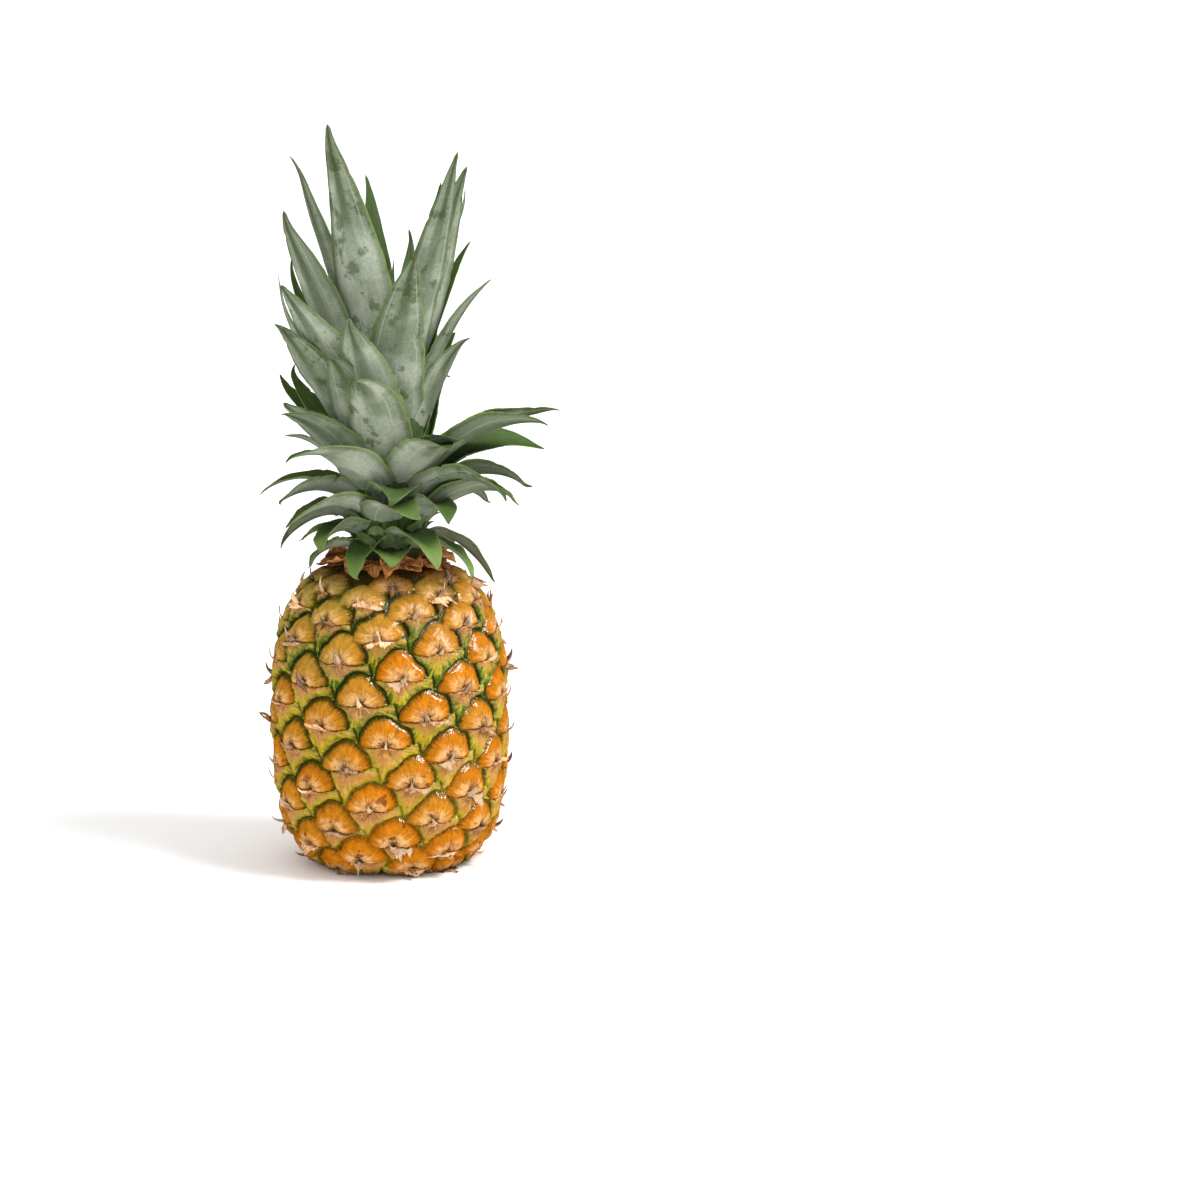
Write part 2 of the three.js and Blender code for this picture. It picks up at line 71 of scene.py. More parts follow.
SKIN_OUTLINE = [
    (25, 0), (31.5, 2), (39, 8.5), (45.5, 20), (49, 36), (50.2, 56), (50.2, 77),
    (48.6, 97), (44.2, 112), (37, 124), (28, 132), (21.5, 135.6),
]
SKIN_STEPS = 16
BASE_RADIUS = 25
NECK_RADIUS = 21.5
FRUIT_HEIGHT = 136

EYE_ANGLE = 137.544  # degrees from each eye to the next along the spiral
EYE_START = 177.94
EYE_FIRST = 8.7
EYE_PITCH = 1.38
EYE_PITCH_RADIUS = 50
EYE_PITCH_POWER = 1.08
EYE_COUNT = 113
ROW_A = 8
ROW_B = 13
TURNS_A = 3
TURNS_B = 5

EYE_HALF_WIDTH = 11.6
EYE_HEIGHT = 12.6
LIP_DEPTH = 0.9  # how far the dome rolls under its own lip
BRACT_HALF_WIDTH = 16.5
BRACT_HEIGHT = 14.5
BRACT_RELIEF = 3.2
BRACT_LAP = 0.06  # how much of a bract's edge is tucked under its neighbours
CREASE_WIDTH = 1.2
SEAM_SPREAD = 7  # mm from a seam for each share that one bract has over the other
EYE_FADE = 7
NET_MARGIN = 2.5
SPIRAL_PAST = 12  # how far the spiral runs on past both ends of the skin
NEIGHBOURS = [(a, b) for a in range(-2, 4) for b in range(-2, 4)]

FOOT_EYES = 30  # the lowest eyes, which have more torn skin
FOOT_TORN_MORE = 0.35
POINT_LENGTH = 5.5
STALK_RADIUS = 13
CUT_PALE = (0.5, 0.34, 0.16)  # the cut stalk's flesh and its fibres
CUT_DARK = (0.2, 0.11, 0.05)
GROOVE_WIDTH = 2.5
GROOVE_DEPTH = 1.6

# ---------------------------------------------------------------- shape of the collar

GAP = 0.3
COLLAR_INNER = 15.5
COLLAR_OUTER = 20.5
COLLAR_HEIGHT = 2.8
SCALE_COUNT = 12
SCALE_ROOT = 17.5
SCALE_WIDTH = 11
WITHERED_COUNT = 17

# How many cuts each kind of blade has along it and across it.
SCALE_CUTS = (18, 8)
SMALL_SCALE_CUTS = (14, 6)
WITHERED_CUTS = (24, 8)
HEART_CUTS = (20, 8)
BRACT_CUTS = (16, 8)
LEAF_CUTS_ACROSS = 12

# Blades of one material have numbers of their own, which set their shades.
FIRST_SMALL_SCALE = 40
FIRST_WITHERED = 90
FIRST_BRACT = 100

# ---------------------------------------------------------------- shape of the crown

STEM_OUTLINE = [
    (15, 136.3), (15, 139), (16, 148), (18.5, 158), (20, 170), (19, 186),
    (16.5, 200), (12.5, 214), (7.5, 228), (0.5, 239),
]
STEM_STEPS = 60
LEAF_COUNT = 73
HEART_COUNT = 8
BRACT_COUNT = 22
LEAF_SPAN = 78
LEAF_ANGLE = 137.508
LEAF_START = 273
LEAF_ROOT = 139
LEAF_ROOT_RISE = 42
LEAF_ROOT_RADIUS = 11
LEAF_ROOT_SHRINK = 7

REACH = [(0, 44), (0.15, 50), (0.3, 58), (0.45, 60), (0.6, 54), (0.75, 47), (0.88, 36), (0.93, 24)]
RISE = [
    (0, -2), (0.1, 6), (0.2, 22), (0.3, 42), (0.4, 63), (0.5, 88), (0.6, 115), (0.7, 138),
    (0.8, 163), (0.88, 168), (0.93, 150),
]
WIDTH = [(0, 23), (0.12, 26), (0.3, 29), (0.45, 32), (0.7, 33), (0.85, 28), (0.92, 22)]
ROOT_LEAN = [(0, 40), (0.08, 32), (0.2, 26), (0.35, 24), (0.5, 19), (0.7, 12), (0.92, 5)]
TIP_LEAN = [(0, 165), (0.15, 155), (0.3, 128), (0.45, 90), (0.6, 46), (0.8, 20), (0.92, 12)]
TIP_LEAN_LEFT = [(0.2, 0), (0.4, 38), (0.55, 15), (0.7, 0)]
ROOT_PULL = [(0, 0.6), (0.3, 0.62), (0.45, 0.45), (0.6, 0.42), (1, 0.36)]
TIP_PULL = [(0, 0.3), (0.12, 0.24), (0.3, 0.24), (0.5, 0.26), (1, 0.3)]
ROOT_WIDTH = [(0, 1), (0.3, 0.9), (0.6, 0.75), (1, 0.6)]
TAPER = [(0.25, 1), (0.45, 0.93), (0.65, 0.71), (0.82, 0.4), (0.93, 0.18), (1, 0.02)]
CUPPING = [(0, 58), (0.3, 44), (0.7, 38), (1, 32)]

# Leaves that go their own way, by number: the tip's distance from the axis, its height over
# the fruit, and the degrees that the blade swings round the axis on its way there.
OWN_TIP = {
    0: (36, 3, 0), 2: (38, 0, 20), 3: (50, -3, -9), 5: (35, -3, 5), 6: (47, -11, -20),
    7: (41, 6, 7), 8: (49, 3, 3), 10: (40, 9, 17), 11: (63, 28, -13), 13: (48, 25, 26),
    15: (49, 8, 19), 16: (48, 23, -11), 18: (55, 20, -12), 19: (64, 33, -20), 20: (60, 27, 21),
    21: (50, 33, -8), 23: (54, 30, 12), 24: (65, 33, -11), 26: (64, 52, -22), 27: (76, 45, -6),
    28: (49, 54, -1), 29: (60, 56, -5), 31: (56, 71, 1), 32: (76, 64, -14), 33: (55, 81, 20),
    34: (59, 87, -14), 35: (40, 80, 0), 36: (49, 73, 18), 37: (55, 60, -16), 39: (50, 97, 5),
    40: (77, 69, -18), 41: (51, 85, -3), 44: (56, 110, 10), 45: (40, 102, -4),
    47: (56, 113, -3), 48: (38, 100, 0), 49: (48, 127, -5), 51: (36, 110, 0),
    52: (58, 127, -4), 53: (48, 125, 7), 54: (48, 134, 13), 55: (50, 140, 9), 56: (49, 140, -15),
    57: (52, 157, 20), 59: (26, 128, 0), 60: (48, 195, -5), 61: (41, 164, -1),
    62: (41, 166, -7), 63: (22, 110, 0), 64: (48, 144, 1), 66: (37, 176, -3),
    67: (22, 150, 0), 68: (14, 118, 0), 70: (39, 181, 9), 71: (40, 183, 6), 72: (29, 170, 11),
}
BURIED = (42, 50, 58, 65)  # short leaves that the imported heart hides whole
OWN_WIDTH = {
    0: 21, 2: 20, 3: 16, 5: 17, 6: 15, 7: 15, 8: 20, 20: 17, 28: 14, 33: 20, 41: 20, 45: 22,
    49: 15, 53: 24, 54: 15, 56: 18, 60: 35, 61: 20, 62: 22, 64: 16, 72: 20,
}
OWN_TIP_LEAN = {20: 140, 28: 100, 33: 8, 41: 12, 49: -5, 53: 50, 54: -5}
OWN_TWIST = {27: 20, 55: -6, 60: 0, 61: -40, 66: -50, 71: -34}
TWIST = 26

# ---------------------------------------------------------------- camera, lights and floor

CAMERA_AT = (0, -1.4739, 0.3963)
CAMERA_AIM = (0.095, 0, 0.1178)
CAMERA_LENS = 100.1
SENSOR_WIDTH = 36
KEY_FROM = (0.53, -0.27, 0.8)
KEY_SPREAD = 18  # degrees of sky that a light fills
GLINT_FROM = (0.85, -0.25, 0.5)
GLINT_SPREAD = 16
FLOOR_REACH = 90  # metres from the middle to each side


# ---------------------------------------------------------------- settings


def length(name, description, default, **limits):
    """A length in metres that the sidebar shows."""
    return bpy.props.FloatProperty(
        name=name, description=description, default=default, unit="LENGTH",
        subtype="DISTANCE", precision=5, **limits,
    )


def count(name, description, default, least, most):
    """A whole number that the sidebar shows."""
    return bpy.props.IntProperty(
        name=name, description=description, default=default, min=least, max=most,
    )


def brightness(name, description, default):
    """How bright something is."""
    return bpy.props.FloatProperty(name=name, description=description, default=default, min=0)


def colour(name, description, red, green, blue):
    """A colour given as it looks on a screen, from 0 to 255."""
    linear = [((part / 255 + 0.055) / 1.055) ** 2.4 for part in (red, green, blue)]
    return bpy.props.FloatVectorProperty(
        name=name, description=description, default=linear, size=3, min=0, max=1,
        subtype="COLOR",
    )


class RindSettings(bpy.types.PropertyGroup):
    """Sizes and colours of the rind and of what stands on it."""

    squares: count("Squares per Eye", "Fineness of the skin between two eyes", 26, 8, 26)
    relief: length("Eye Height", "How far an eye's dome stands out of the skin", 0.0036)
    lip_ridge: length("Lip Ridge", "Height of the thin edge under an eye's lip", 0.0006)
    paper: length("Tip Thickness", "Thickness of a dry papery tip", 0.0003)
    torn_share: bpy.props.FloatProperty(
        name="Torn Share", description="Share of the eyes with a torn sheet of dry skin",
        default=0.45, min=0, max=1, subtype="FACTOR",
    )
    # The pale peach is also laid beside each star as a painted reflection of the white surroundings.
    peach: colour("Eye Middle", "Pale middle of an eye's dome", 240, 188, 122)
    orange: colour("Eye Flank", "Ripe flank of an eye's dome", 213, 128, 9)
    amber: colour("Eye Shoulder", "Deep colour near the dome's rim", 190, 112, 4)
    unripe: colour("Unripe Eye", "Dome that is still green", 156, 144, 60)
    olive: colour("Eye Rim", "Olive rim of a dome", 78, 76, 2)
    bract_green: colour("Bract Edge", "Green of a bract beside the grooves", 86, 112, 8)
    bract_yellow: colour("Bract Flank", "Yellow-green of a bract", 190, 166, 18)
    bract_wing: colour("Bract Wing", "Bright pointed wings of a bract", 170, 178, 46)
    # Also laid on as a painted sheen: pale patches and streaks on a bract's pleats.
    bract_sheen: colour("Bract Sheen", "Pale waxy patches of a bract", 198, 187, 98)
    bract_tan: colour("Bract Ripe", "Tan of a bract that has dried", 212, 147, 66)
    dry_pink: colour("Dry Skin", "Pinkish dry skin round the star", 206, 140, 82)
    purple: colour("Dry Lines", "Purplish lines in the dry skin", 112, 72, 64)
    # The grooves' own dark green, deepened as painted shade in the creases.
    groove: colour("Groove", "Dark green in the grooves", 32, 48, 4)
    brown: colour("Dried Lip", "Brown of dried lips and stars", 88, 54, 34)
    scar: colour("Scar", "Reddish scars on ripe eyes", 112, 44, 30)
    paper_colour: colour("Papery Tip", "Dry papery tips", 238, 200, 158)


class CollarSettings(bpy.types.PropertyGroup):
    """Sizes and colours of the dry collar."""

    extra_scales: count("Small Scales", "Small curled scales between the large ones", 34, 0, 80)
    withered: count(
        "Withered Leaves", "Withered leaves over the fruit's shoulder", WITHERED_COUNT, 0, 40
    )
    thickness: length("Scale Thickness", "Thickness of a dry scale", 0.0007)
    rust: colour("Rust", "Reddish brown of a dry scale", 116, 50, 27)
    straw: colour("Straw", "Pale dry edge of a scale", 230, 162, 92)


class CrownSettings(bpy.types.PropertyGroup):
    """Sizes and colours of the leaves."""

    stations: count("Cuts Along", "Cuts along each leaf", 56, 12, 80)
    thickness: length("Leaf Thickness", "Thickness of a leaf along its middle", 0.0015)
    edge: length("Leaf Edge", "Thickness of a leaf's edge", 0.0004)
    bloom: colour("Powdery Back", "Grey-green waxy back of a leaf", 184, 192, 170)
    # Also laid on as painted shade: the right-hand leaves and the middle of each back toward the tip.
    rubbed: colour("Rubbed Back", "Green where the wax is rubbed off", 62, 82, 30)
    # The inner greens are also laid on the leaf bases round the stem as painted shade.
    inner: colour("Inner Face", "Green of the inner face", 76, 104, 44)
    inner_dark: colour("Inner Veins", "Darker green between the veins", 42, 62, 26)
    # Also laid on the low leaves' inner tips, partly as a painted sheen.
    margin: colour("Margin", "Thin edge of a leaf", 124, 151, 76)
    base: colour("Leaf Base", "Base of a leaf", 110, 132, 58)
    dry: colour("Dry Tip", "Brown dried tip of a leaf", 98, 78, 42)


class StageSettings(bpy.types.PropertyGroup):
    """The floor and the lights."""

    floor: colour("Floor", "Colour of the floor", 254, 254, 254)
    key_strength: brightness("Key Light", "Strength of the soft light on the right", 2.32)
    glint_strength: brightness("Glint Light", "Strength of the light that only wet rims reflect", 1.85)
    sky: brightness("Surroundings", "Brightness of the white surroundings", 1.0)


# ---------------------------------------------------------------- small helpers


def along(points, x):
    """The value at x of a line through (x, y) points, flat beyond its ends."""
    return np.interp(x, [point[0] for point in points], [point[1] for point in points])


def chance(number, kind):
    """A number from 0 to 1 that looks random and is the same every time."""
    wave = np.sin(number * 12.9898 + kind * 78.233) * 43758.5453
    return wave - np.floor(wave)


def swing(width, number, kind):
    """Like chance, from minus half a width to plus half."""
    return width * (chance(number, kind) - 0.5)


def smooth_step(low, high, x):
    """0 below low, 1 above high and a smooth rise between them."""
    t = np.clip((x - low) / (high - low), 0, 1)
    return t * t * (3 - 2 * t)


def unit(vectors):
    """The same vectors, one long."""
    return vectors / np.maximum(np.linalg.norm(vectors, axis=-1, keepdims=True), 1e-9)


def new_piece(name, points, faces, finish, numbers, node):
    """A smooth mesh object in the frame, dressed, hung from the root and standing in for the node,
    whose solid it hides.
    """
    mesh = bpy.data.meshes.new(name)
    low, high = np.add(SOLID_BOX[0], INSET), np.subtract(SOLID_BOX[1], INSET)
    inside = np.clip(np.asarray(points) * MM, low, high)
    mesh.from_pydata(inside.tolist(), [], faces)
    mesh.polygons.foreach_set("use_smooth", [True] * len(mesh.polygons))
    for key, (domain, values) in numbers.items():
        is_vector = values.ndim == 2
        held = mesh.attributes.new(key, "FLOAT_VECTOR" if is_vector else "FLOAT", domain)
        held.data.foreach_set("vector" if is_vector else "value", values.ravel().astype(np.float32))
    mesh.materials.append(finish)
    mesh.validate()
    piece = bpy.data.objects.new(name, mesh)
    bpy.context.scene.collection.objects.link(piece)
    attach(piece, "root")
    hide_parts(node)
    return piece


class Heap:
    """Points, faces and numbers of many small sheets, gathered into one mesh."""

    def __init__(self):
        self.points, self.faces, self.numbers, self.held = [], [], {}, 0

    def add(self, points, faces, **numbers):
        self.points.append(points)
        self.faces.extend((np.asarray(faces) + self.held).tolist())
        self.held += len(points)
        for key, values in numbers.items():
            self.numbers.setdefault(key, []).append(values)

    def piece(self, name, finish, node, slot):
        numbers = {key: ("POINT", np.concatenate(parts)) for key, parts in self.numbers.items()}
        return new_piece(name, np.concatenate(self.points), self.faces, finish, numbers, node)


def closed_sheet(outer, inner):
    """Points and faces of a thin closed sheet between two grids, outer facing out."""
    rows, columns = outer.shape[:2]
    points = np.concatenate([outer.reshape(-1, 3), inner.reshape(-1, 3)])
    number = np.arange(rows * columns).reshape(rows, columns)
    a, b = number[:-1, :-1].ravel(), number[:-1, 1:].ravel()
    c, d = number[1:, 1:].ravel(), number[1:, :-1].ravel()
    under = rows * columns
    faces = [np.stack([a, b, c, d], axis=1), np.stack([a, d, c, b], axis=1) + under]
    for line in (number[::-1, 0], number[0, :], number[:, -1], number[-1, ::-1]):
        start, end = line[:-1], line[1:]
        faces.append(np.stack([end, start, start + under, end + under], axis=1))
    return points, np.concatenate(faces)


def turned(outline, sides, ribs=0.0):
    """Points and faces of an open shape turned round the axis, with shallow upright ribs."""
    angle = np.linspace(0, 2 * np.pi, sides, endpoint=False)
    rib = 1 + ribs * np.sin(angle * 23) * np.sin(angle * 7 + 1)
    points = [
        np.stack([r * rib * np.cos(angle), r * rib * np.sin(angle), np.full(sides, z)], axis=1)
        for r, z in outline
    ]
    row = np.arange(sides)
    after = (row + 1) % sides
    faces = [
        np.stack([row, after, after + sides, row + sides], axis=1) + level * sides
        for level in range(len(outline) - 1)
    ]
    return np.concatenate(points), np.concatenate(faces)


# ---------------------------------------------------------------- the skin and its spiral


def smooth_outline():
    """The outline as arrays of distance up the skin, radius and height."""
    knots = np.array(SKIN_OUTLINE, float)
    knots = np.vstack([2 * knots[0] - knots[1], knots, 2 * knots[-1] - knots[-2]])
    t = (np.arange(SKIN_STEPS) / SKIN_STEPS)[:, None]
    line = []
    for a, b, c, d in zip(knots, knots[1:], knots[2:], knots[3:]):
        bend = (2 * a - 5 * b + 4 * c - d) * t**2 + (3 * b - a - 3 * c + d) * t**3
        line.append(0.5 * (2 * b + (c - a) * t + bend))
    line = np.vstack([*line, knots[-2]])
    steps = np.linalg.norm(np.diff(line, axis=0), axis=1)
    return np.concatenate([[0], np.cumsum(steps)]), line[:, 0], line[:, 1]


SKIN_UP, SKIN_RADIUS, SKIN_HEIGHT = smooth_outline()
SKIN_LENGTH = SKIN_UP[-1]


def skin_at(distance):
    """Radius and height on the bare skin. Below 0 it is the base, past the end the neck."""
    radius = np.interp(distance, SKIN_UP, SKIN_RADIUS)
    height = np.interp(distance, SKIN_UP, SKIN_HEIGHT)
    past = distance > SKIN_LENGTH
    radius = np.where(distance < 0, BASE_RADIUS + distance, radius)
    radius = np.where(past, NECK_RADIUS - (distance - SKIN_LENGTH), radius)
    return radius, np.where(past, FRUIT_HEIGHT, height)


def over_skin(angle, distance, lift):
    """Points at an angle, a distance up the skin and a height over it."""
    radius, height = skin_at(distance)
    r0, z0 = skin_at(distance - 0.5)
    r1, z1 = skin_at(distance + 0.5)
    size = np.hypot(r1 - r0, z1 - z0)
    out = radius + (z1 - z0) / size * lift
    high = np.maximum(height + (r0 - r1) / size * lift, 0)
    return np.stack([out * np.cos(angle), out * np.sin(angle), high], axis=-1)


def eye_spacing():
    """Places along the spiral and how far up the skin each is."""

    def pitch(distance):
        radius = max(float(skin_at(distance)[0]), BASE_RADIUS / 2)
        return EYE_PITCH * (radius / EYE_PITCH_RADIUS) ** EYE_PITCH_POWER

    places, distances = [0], [EYE_FIRST]
    while distances[-1] < SKIN_LENGTH + SPIRAL_PAST:
        distances.append(distances[-1] + pitch(distances[-1]))
        places.append(places[-1] + 1)
    while distances[0] > -SPIRAL_PAST:
        distances.insert(0, distances[0] - pitch(distances[0]))
        places.insert(0, places[0] - 1)
    return np.array(places, float), np.array(distances)


PLACES, PLACE_DISTANCES = eye_spacing()


def net_point(steps_a, steps_b):
    """Angle and distance up the skin of a point on the spiral's net."""
    place = ROW_A * steps_a + ROW_B * steps_b
    turns = TURNS_A * steps_a + TURNS_B * steps_b
    angle = np.radians(EYE_START + EYE_ANGLE * place - 360 * turns)
    return angle, np.interp(place, PLACES, PLACE_DISTANCES)


def net_steps(angle, distance):
    """The steps along both rows that lead to an angle and a distance up the skin."""
    place = np.interp(distance, PLACE_DISTANCES, PLACES)
    turns = (EYE_START + EYE_ANGLE * place - np.degrees(angle)) / 360
    return TURNS_B * place - ROW_B * turns, -TURNS_A * place + ROW_A * turns


def eye_home(eye):
    """An eye's angle and distance up the skin."""
    steps_a = (eye * TURNS_B) % ROW_B
    return net_point(steps_a, (eye - ROW_A * steps_a) / ROW_B)


# ---------------------------------------------------------------- the rind's relief


def lip_line(eye, across):
    """Height of an eye's lip: tilted, with a soft lobe hanging down on either side."""
    tilt = swing(0.12, eye, 11) + 0.02
    sag = np.where(across > 0, 0.1 + 1.0 * chance(eye, 35), 0.1 + 1.0 * chance(eye, 36))
    lobe = np.sin(np.pi * np.clip(np.abs(across) / EYE_HALF_WIDTH, 0, 1)) ** 2
    return tilt * across - sag * lobe


def eye_shape(eye, across, up, relief):
    """Rim, dome and bract of one eye at points across and up from the middle of its lip."""
    fall = up - lip_line(eye, across)
    lift = np.where(fall >= 0, fall / EYE_HEIGHT, -fall / LIP_DEPTH)
    narrow = EYE_HALF_WIDTH * (1 - 0.09 * np.clip(lift, 0, 1))
    turn = np.arctan2(np.maximum(fall, 0), across)
    wobble = 1 + swing(0.07, eye, 12)
    for lobes, depth in ((3, 0.035), (5, 0.025), (9, 0.016)):
        wobble = wobble + depth * np.cos(lobes * turn + 6.3 * chance(eye, lobes + 40))
    lean = across + swing(0.24, eye, 13) * np.maximum(fall, 0)
    rim = np.hypot(lean / narrow, lift) / wobble
    dome = relief * np.clip(1 - rim**2.6, 0, 1) ** 0.6
    wing = (np.abs(across) / BRACT_HALF_WIDTH) ** 1.3
    left = 1 - wing - (np.maximum(-fall, 0) / BRACT_HEIGHT) ** 1.2
    left = np.where(fall < 1, left, np.minimum(left, 0) - 0.5)
    bract = BRACT_RELIEF * np.clip(left + BRACT_LAP, 0, 1) ** 0.45
    return rim, dome, bract, left


def skin_fields(steps_a, steps_b, relief):
    """What the eyes round each point of the net make of it."""
    angle, distance = net_point(steps_a, steps_b)
    radius, _ = skin_at(np.clip(distance, 0, SKIN_LENGTH))
    none = np.zeros(np.shape(steps_a))
    dome, bract, left, other, rim = none, none, none - 99, none - 99, none + 9
    bract_at = np.zeros((*none.shape, 3))
    dome_at = bract_at
    for step_a, step_b in NEIGHBOURS:
        a = np.floor(steps_a) + step_a
        b = np.floor(steps_b) + step_b
        eye = ROW_A * a + ROW_B * b
        eye_angle, eye_distance = net_point(a, b)
        at = np.stack([(angle - eye_angle) * radius, distance - eye_distance, eye], axis=-1)
        real = (eye >= 0) & (eye < EYE_COUNT)
        own_rim, own_dome, own_bract, own_left = eye_shape(eye, at[..., 0], at[..., 1], relief)
        own_rim = np.where(real, own_rim, 9)
        own_left = np.where(real, own_left, -99)
        nearer = own_rim < rim
        dome_at = np.where(nearer[..., None], at, dome_at)
        dome = np.where(nearer, own_dome, dome)
        rim = np.minimum(rim, own_rim)
        wider = own_left > left
        other = np.maximum(other, np.minimum(left, own_left))
        bract_at = np.where(wider[..., None], at, bract_at)
        bract = np.where(wider, own_bract, bract)
        left = np.maximum(left, own_left)
    at = np.where((rim < 1)[..., None], dome_at, bract_at)
    return {
        "dome": dome,
        "bract": bract,
        "rim": (rim - 1) * EYE_HALF_WIDTH,
        "seam": np.minimum((left - other) * SEAM_SPREAD, 9),
        "at": at,
        "distance": distance,
    }


def star_wrinkles(across, fall, eye):
    """Radial wrinkles, the dimple and the cleft round the middle of a lip."""
    out = np.hypot(across, 1.2 * fall)
    turn = np.arctan2(fall, across)
    waves = np.zeros(out.shape)
    for lobes in (5, 8, 13, 19):
        waves = waves + np.cos(lobes * turn + 6.3 * chance(eye, lobes))
    reach = np.where(fall < 0, 8.5, 5)
    creases = np.where(fall < 0, 0.24, 0.15) * waves * np.exp(-((out / reach) ** 2))
    creases = creases * np.clip(out / 1.5, 0, 1)
    sway = across - swing(0.5, eye, 37) * fall
    cleft = 0.7 * np.exp(-((sway / 1.0) ** 2)) * smooth_step(-0.6, 0.8, fall)
    cleft = cleft * np.clip(1 - fall / (3.5 + 4.5 * chance(eye, 38)), 0, 1)
    return creases - cleft - 0.7 * np.exp(-((out / 1.2) ** 2)) - 0.45 * np.exp(-((out / 4) ** 2))


def skin_height(found):
    """Height over the bare skin, with grooves, seams, lips, ridges and wrinkles."""
    rim, seam = found["rim"], found["seam"]
    across, up, eye = (found["at"][..., i] for i in range(3))
    fall = up - lip_line(eye, across)
    crease = np.clip(rim / CREASE_WIDTH, 0, 1)
    dip = 1.1 * np.exp(-((seam / 0.75) ** 2)) * crease
    keel = 0.8 * np.exp(-((across / 1.8) ** 2)) * smooth_step(1, 4, -fall) * crease
    near = np.clip(1 - (across / 15) ** 2, 0, 1)
    edge = 0.5 * np.exp(-(((fall + 1.5) / 0.6) ** 2)) * near
    bumps = np.sin(1.3 * across + 0.4 * up + 3 * eye) * np.sin(1.1 * up - 0.5 * across + eye)
    pleats = np.sin(2.3 * across - 0.9 * up + 5 * eye) * np.sin(0.8 * up + 0.7 * across + 2 * eye)
    rough = (0.28 * bumps + 0.2 * pleats) * crease
    height = np.where(rim < 0, found["dome"], found["bract"] * crease - dip + keel + edge + rough)
    crack = np.exp(-(((fall + 0.6) / 0.5) ** 2)) * (0.2 + 0.35 * np.exp(-((across / 4) ** 2))) * near
    lump = 0.24 * np.sin(across * 0.55 + eye) * np.sin(up * 0.7 + 2 * eye) * np.clip(height, 0, 1)
    height = np.maximum(height + lump + star_wrinkles(across, fall, eye) - crack, -0.3)
    fade = np.clip(np.minimum(found["distance"], SKIN_LENGTH - found["distance"]) / EYE_FADE, 0, 1)
    return height * fade


def rind_point(angle, distance, lift, relief):
    """Points a height over the finished rind."""
    steps = net_steps(angle, distance)
    return over_skin(angle, distance, skin_height(skin_fields(*steps, relief)) + lift)


def net_squares(squares):
    """The fine net's squares, as steps of the corner nearest the base."""
    ends = np.interp([-NET_MARGIN, SKIN_LENGTH + 1], PLACE_DISTANCES, PLACES) * squares
    found = []
    for i in range(ROW_B * squares):
        lowest, highest = (math.ceil((end - ROW_A * i) / ROW_B) for end in ends)
        j = np.arange(lowest, highest)
        found.append(np.stack([np.full_like(j, i), j], axis=1))
    return np.concatenate(found)


def rind_net(squares):
    """Steps of every corner, corner numbers of each square, and steps of its corners."""
    low = net_squares(squares)
    corners = np.stack([low + step for step in ([0, 0], [1, 0], [1, 1], [0, 1])], axis=1)
    wrapped = corners.copy()
    over = wrapped[..., 0] == ROW_B * squares
    wrapped[over] += [-ROW_B * squares, ROW_A * squares]
    flat = wrapped.reshape(-1, 2)
    steps, faces = np.unique(flat, axis=0, return_inverse=True)
    return steps / squares, faces.reshape(-1, 4), corners / squares


def squares_from_their_eye(corners, relief):
    """For each square's corners, where they are from the eye that owns the square."""
    centre = corners.mean(axis=1)
    owner = skin_fields(centre[:, 0], centre[:, 1], relief)["at"]
    middle_angle, middle_distance = net_point(centre[:, 0], centre[:, 1])
    middle_radius, _ = skin_at(np.clip(middle_distance, 0, SKIN_LENGTH))
    eye_angle = middle_angle - owner[:, 0] / middle_radius
    angle, distance = net_point(corners[..., 0], corners[..., 1])
    radius, _ = skin_at(np.clip(distance, 0, SKIN_LENGTH))
    across = (angle - eye_angle[:, None]) * radius
    eye = np.broadcast_to(owner[:, 2:3], across.shape)
    fall = distance - (middle_distance - owner[:, 1])[:, None] - lip_line(eye, across)
    return np.stack([across, fall, eye], axis=-1).reshape(-1, 3)


# ---------------------------------------------------------------- blades


def bezier(controls, t):
    """Points at t on a curve with four control points in the plane of radius and height."""
    t = t[:, None]
    weights = [(1 - t) ** 3, 3 * (1 - t) ** 2 * t, 3 * (1 - t) * t**2, t**3]
    return sum(weight * np.array(point) for weight, point in zip(weights, controls))


def arch(root, tip, root_lean, tip_lean, root_pull, tip_pull):
    """Control points from a root to a tip, leaving and arriving at leans from upright."""
    chord = math.hypot(tip[0] - root[0], tip[1] - root[1])
    a, b = math.radians(root_lean), math.radians(tip_lean)
    near, far = chord * root_pull, chord * tip_pull
    return [
        root,
        (root[0] + math.sin(a) * near, root[1] + math.cos(a) * near),
        (tip[0] - math.sin(b) * far, tip[1] - math.cos(b) * far),
        tip,
    ]


def blade_frames(shape, t):
    """Centres along a blade with their directions across it and in through it."""

    def centre(share):
        flat = bezier(shape["controls"], share)
        angle = np.radians(shape["angle"] + shape["sweep"] * share)
        return np.stack([flat[:, 0] * np.cos(angle), flat[:, 0] * np.sin(angle), flat[:, 1]], axis=1)

    ahead = unit(centre(np.minimum(t + 0.01, 1)) - centre(np.maximum(t - 0.01, 0)))
    angle = np.radians(shape["angle"] + shape["sweep"] * t)
    level = np.stack([-np.sin(angle), np.cos(angle), np.zeros(len(t))], axis=1)
    across = unit(level - ahead * (level * ahead).sum(axis=1, keepdims=True))
    inward = np.cross(ahead, across)
    turn = np.radians(shape["twist"]) * np.minimum(1, t * 1.6)[:, None]
    return (
        centre(t),
        across * np.cos(turn) + inward * np.sin(turn),
        inward * np.cos(turn) - across * np.sin(turn),
    )


def soft_along(points, t):
    """Like along, with its corners rounded."""
    return sum(along(points, np.clip(t + shift, 0, 1)) for shift in (-0.04, 0, 0.04)) / 3


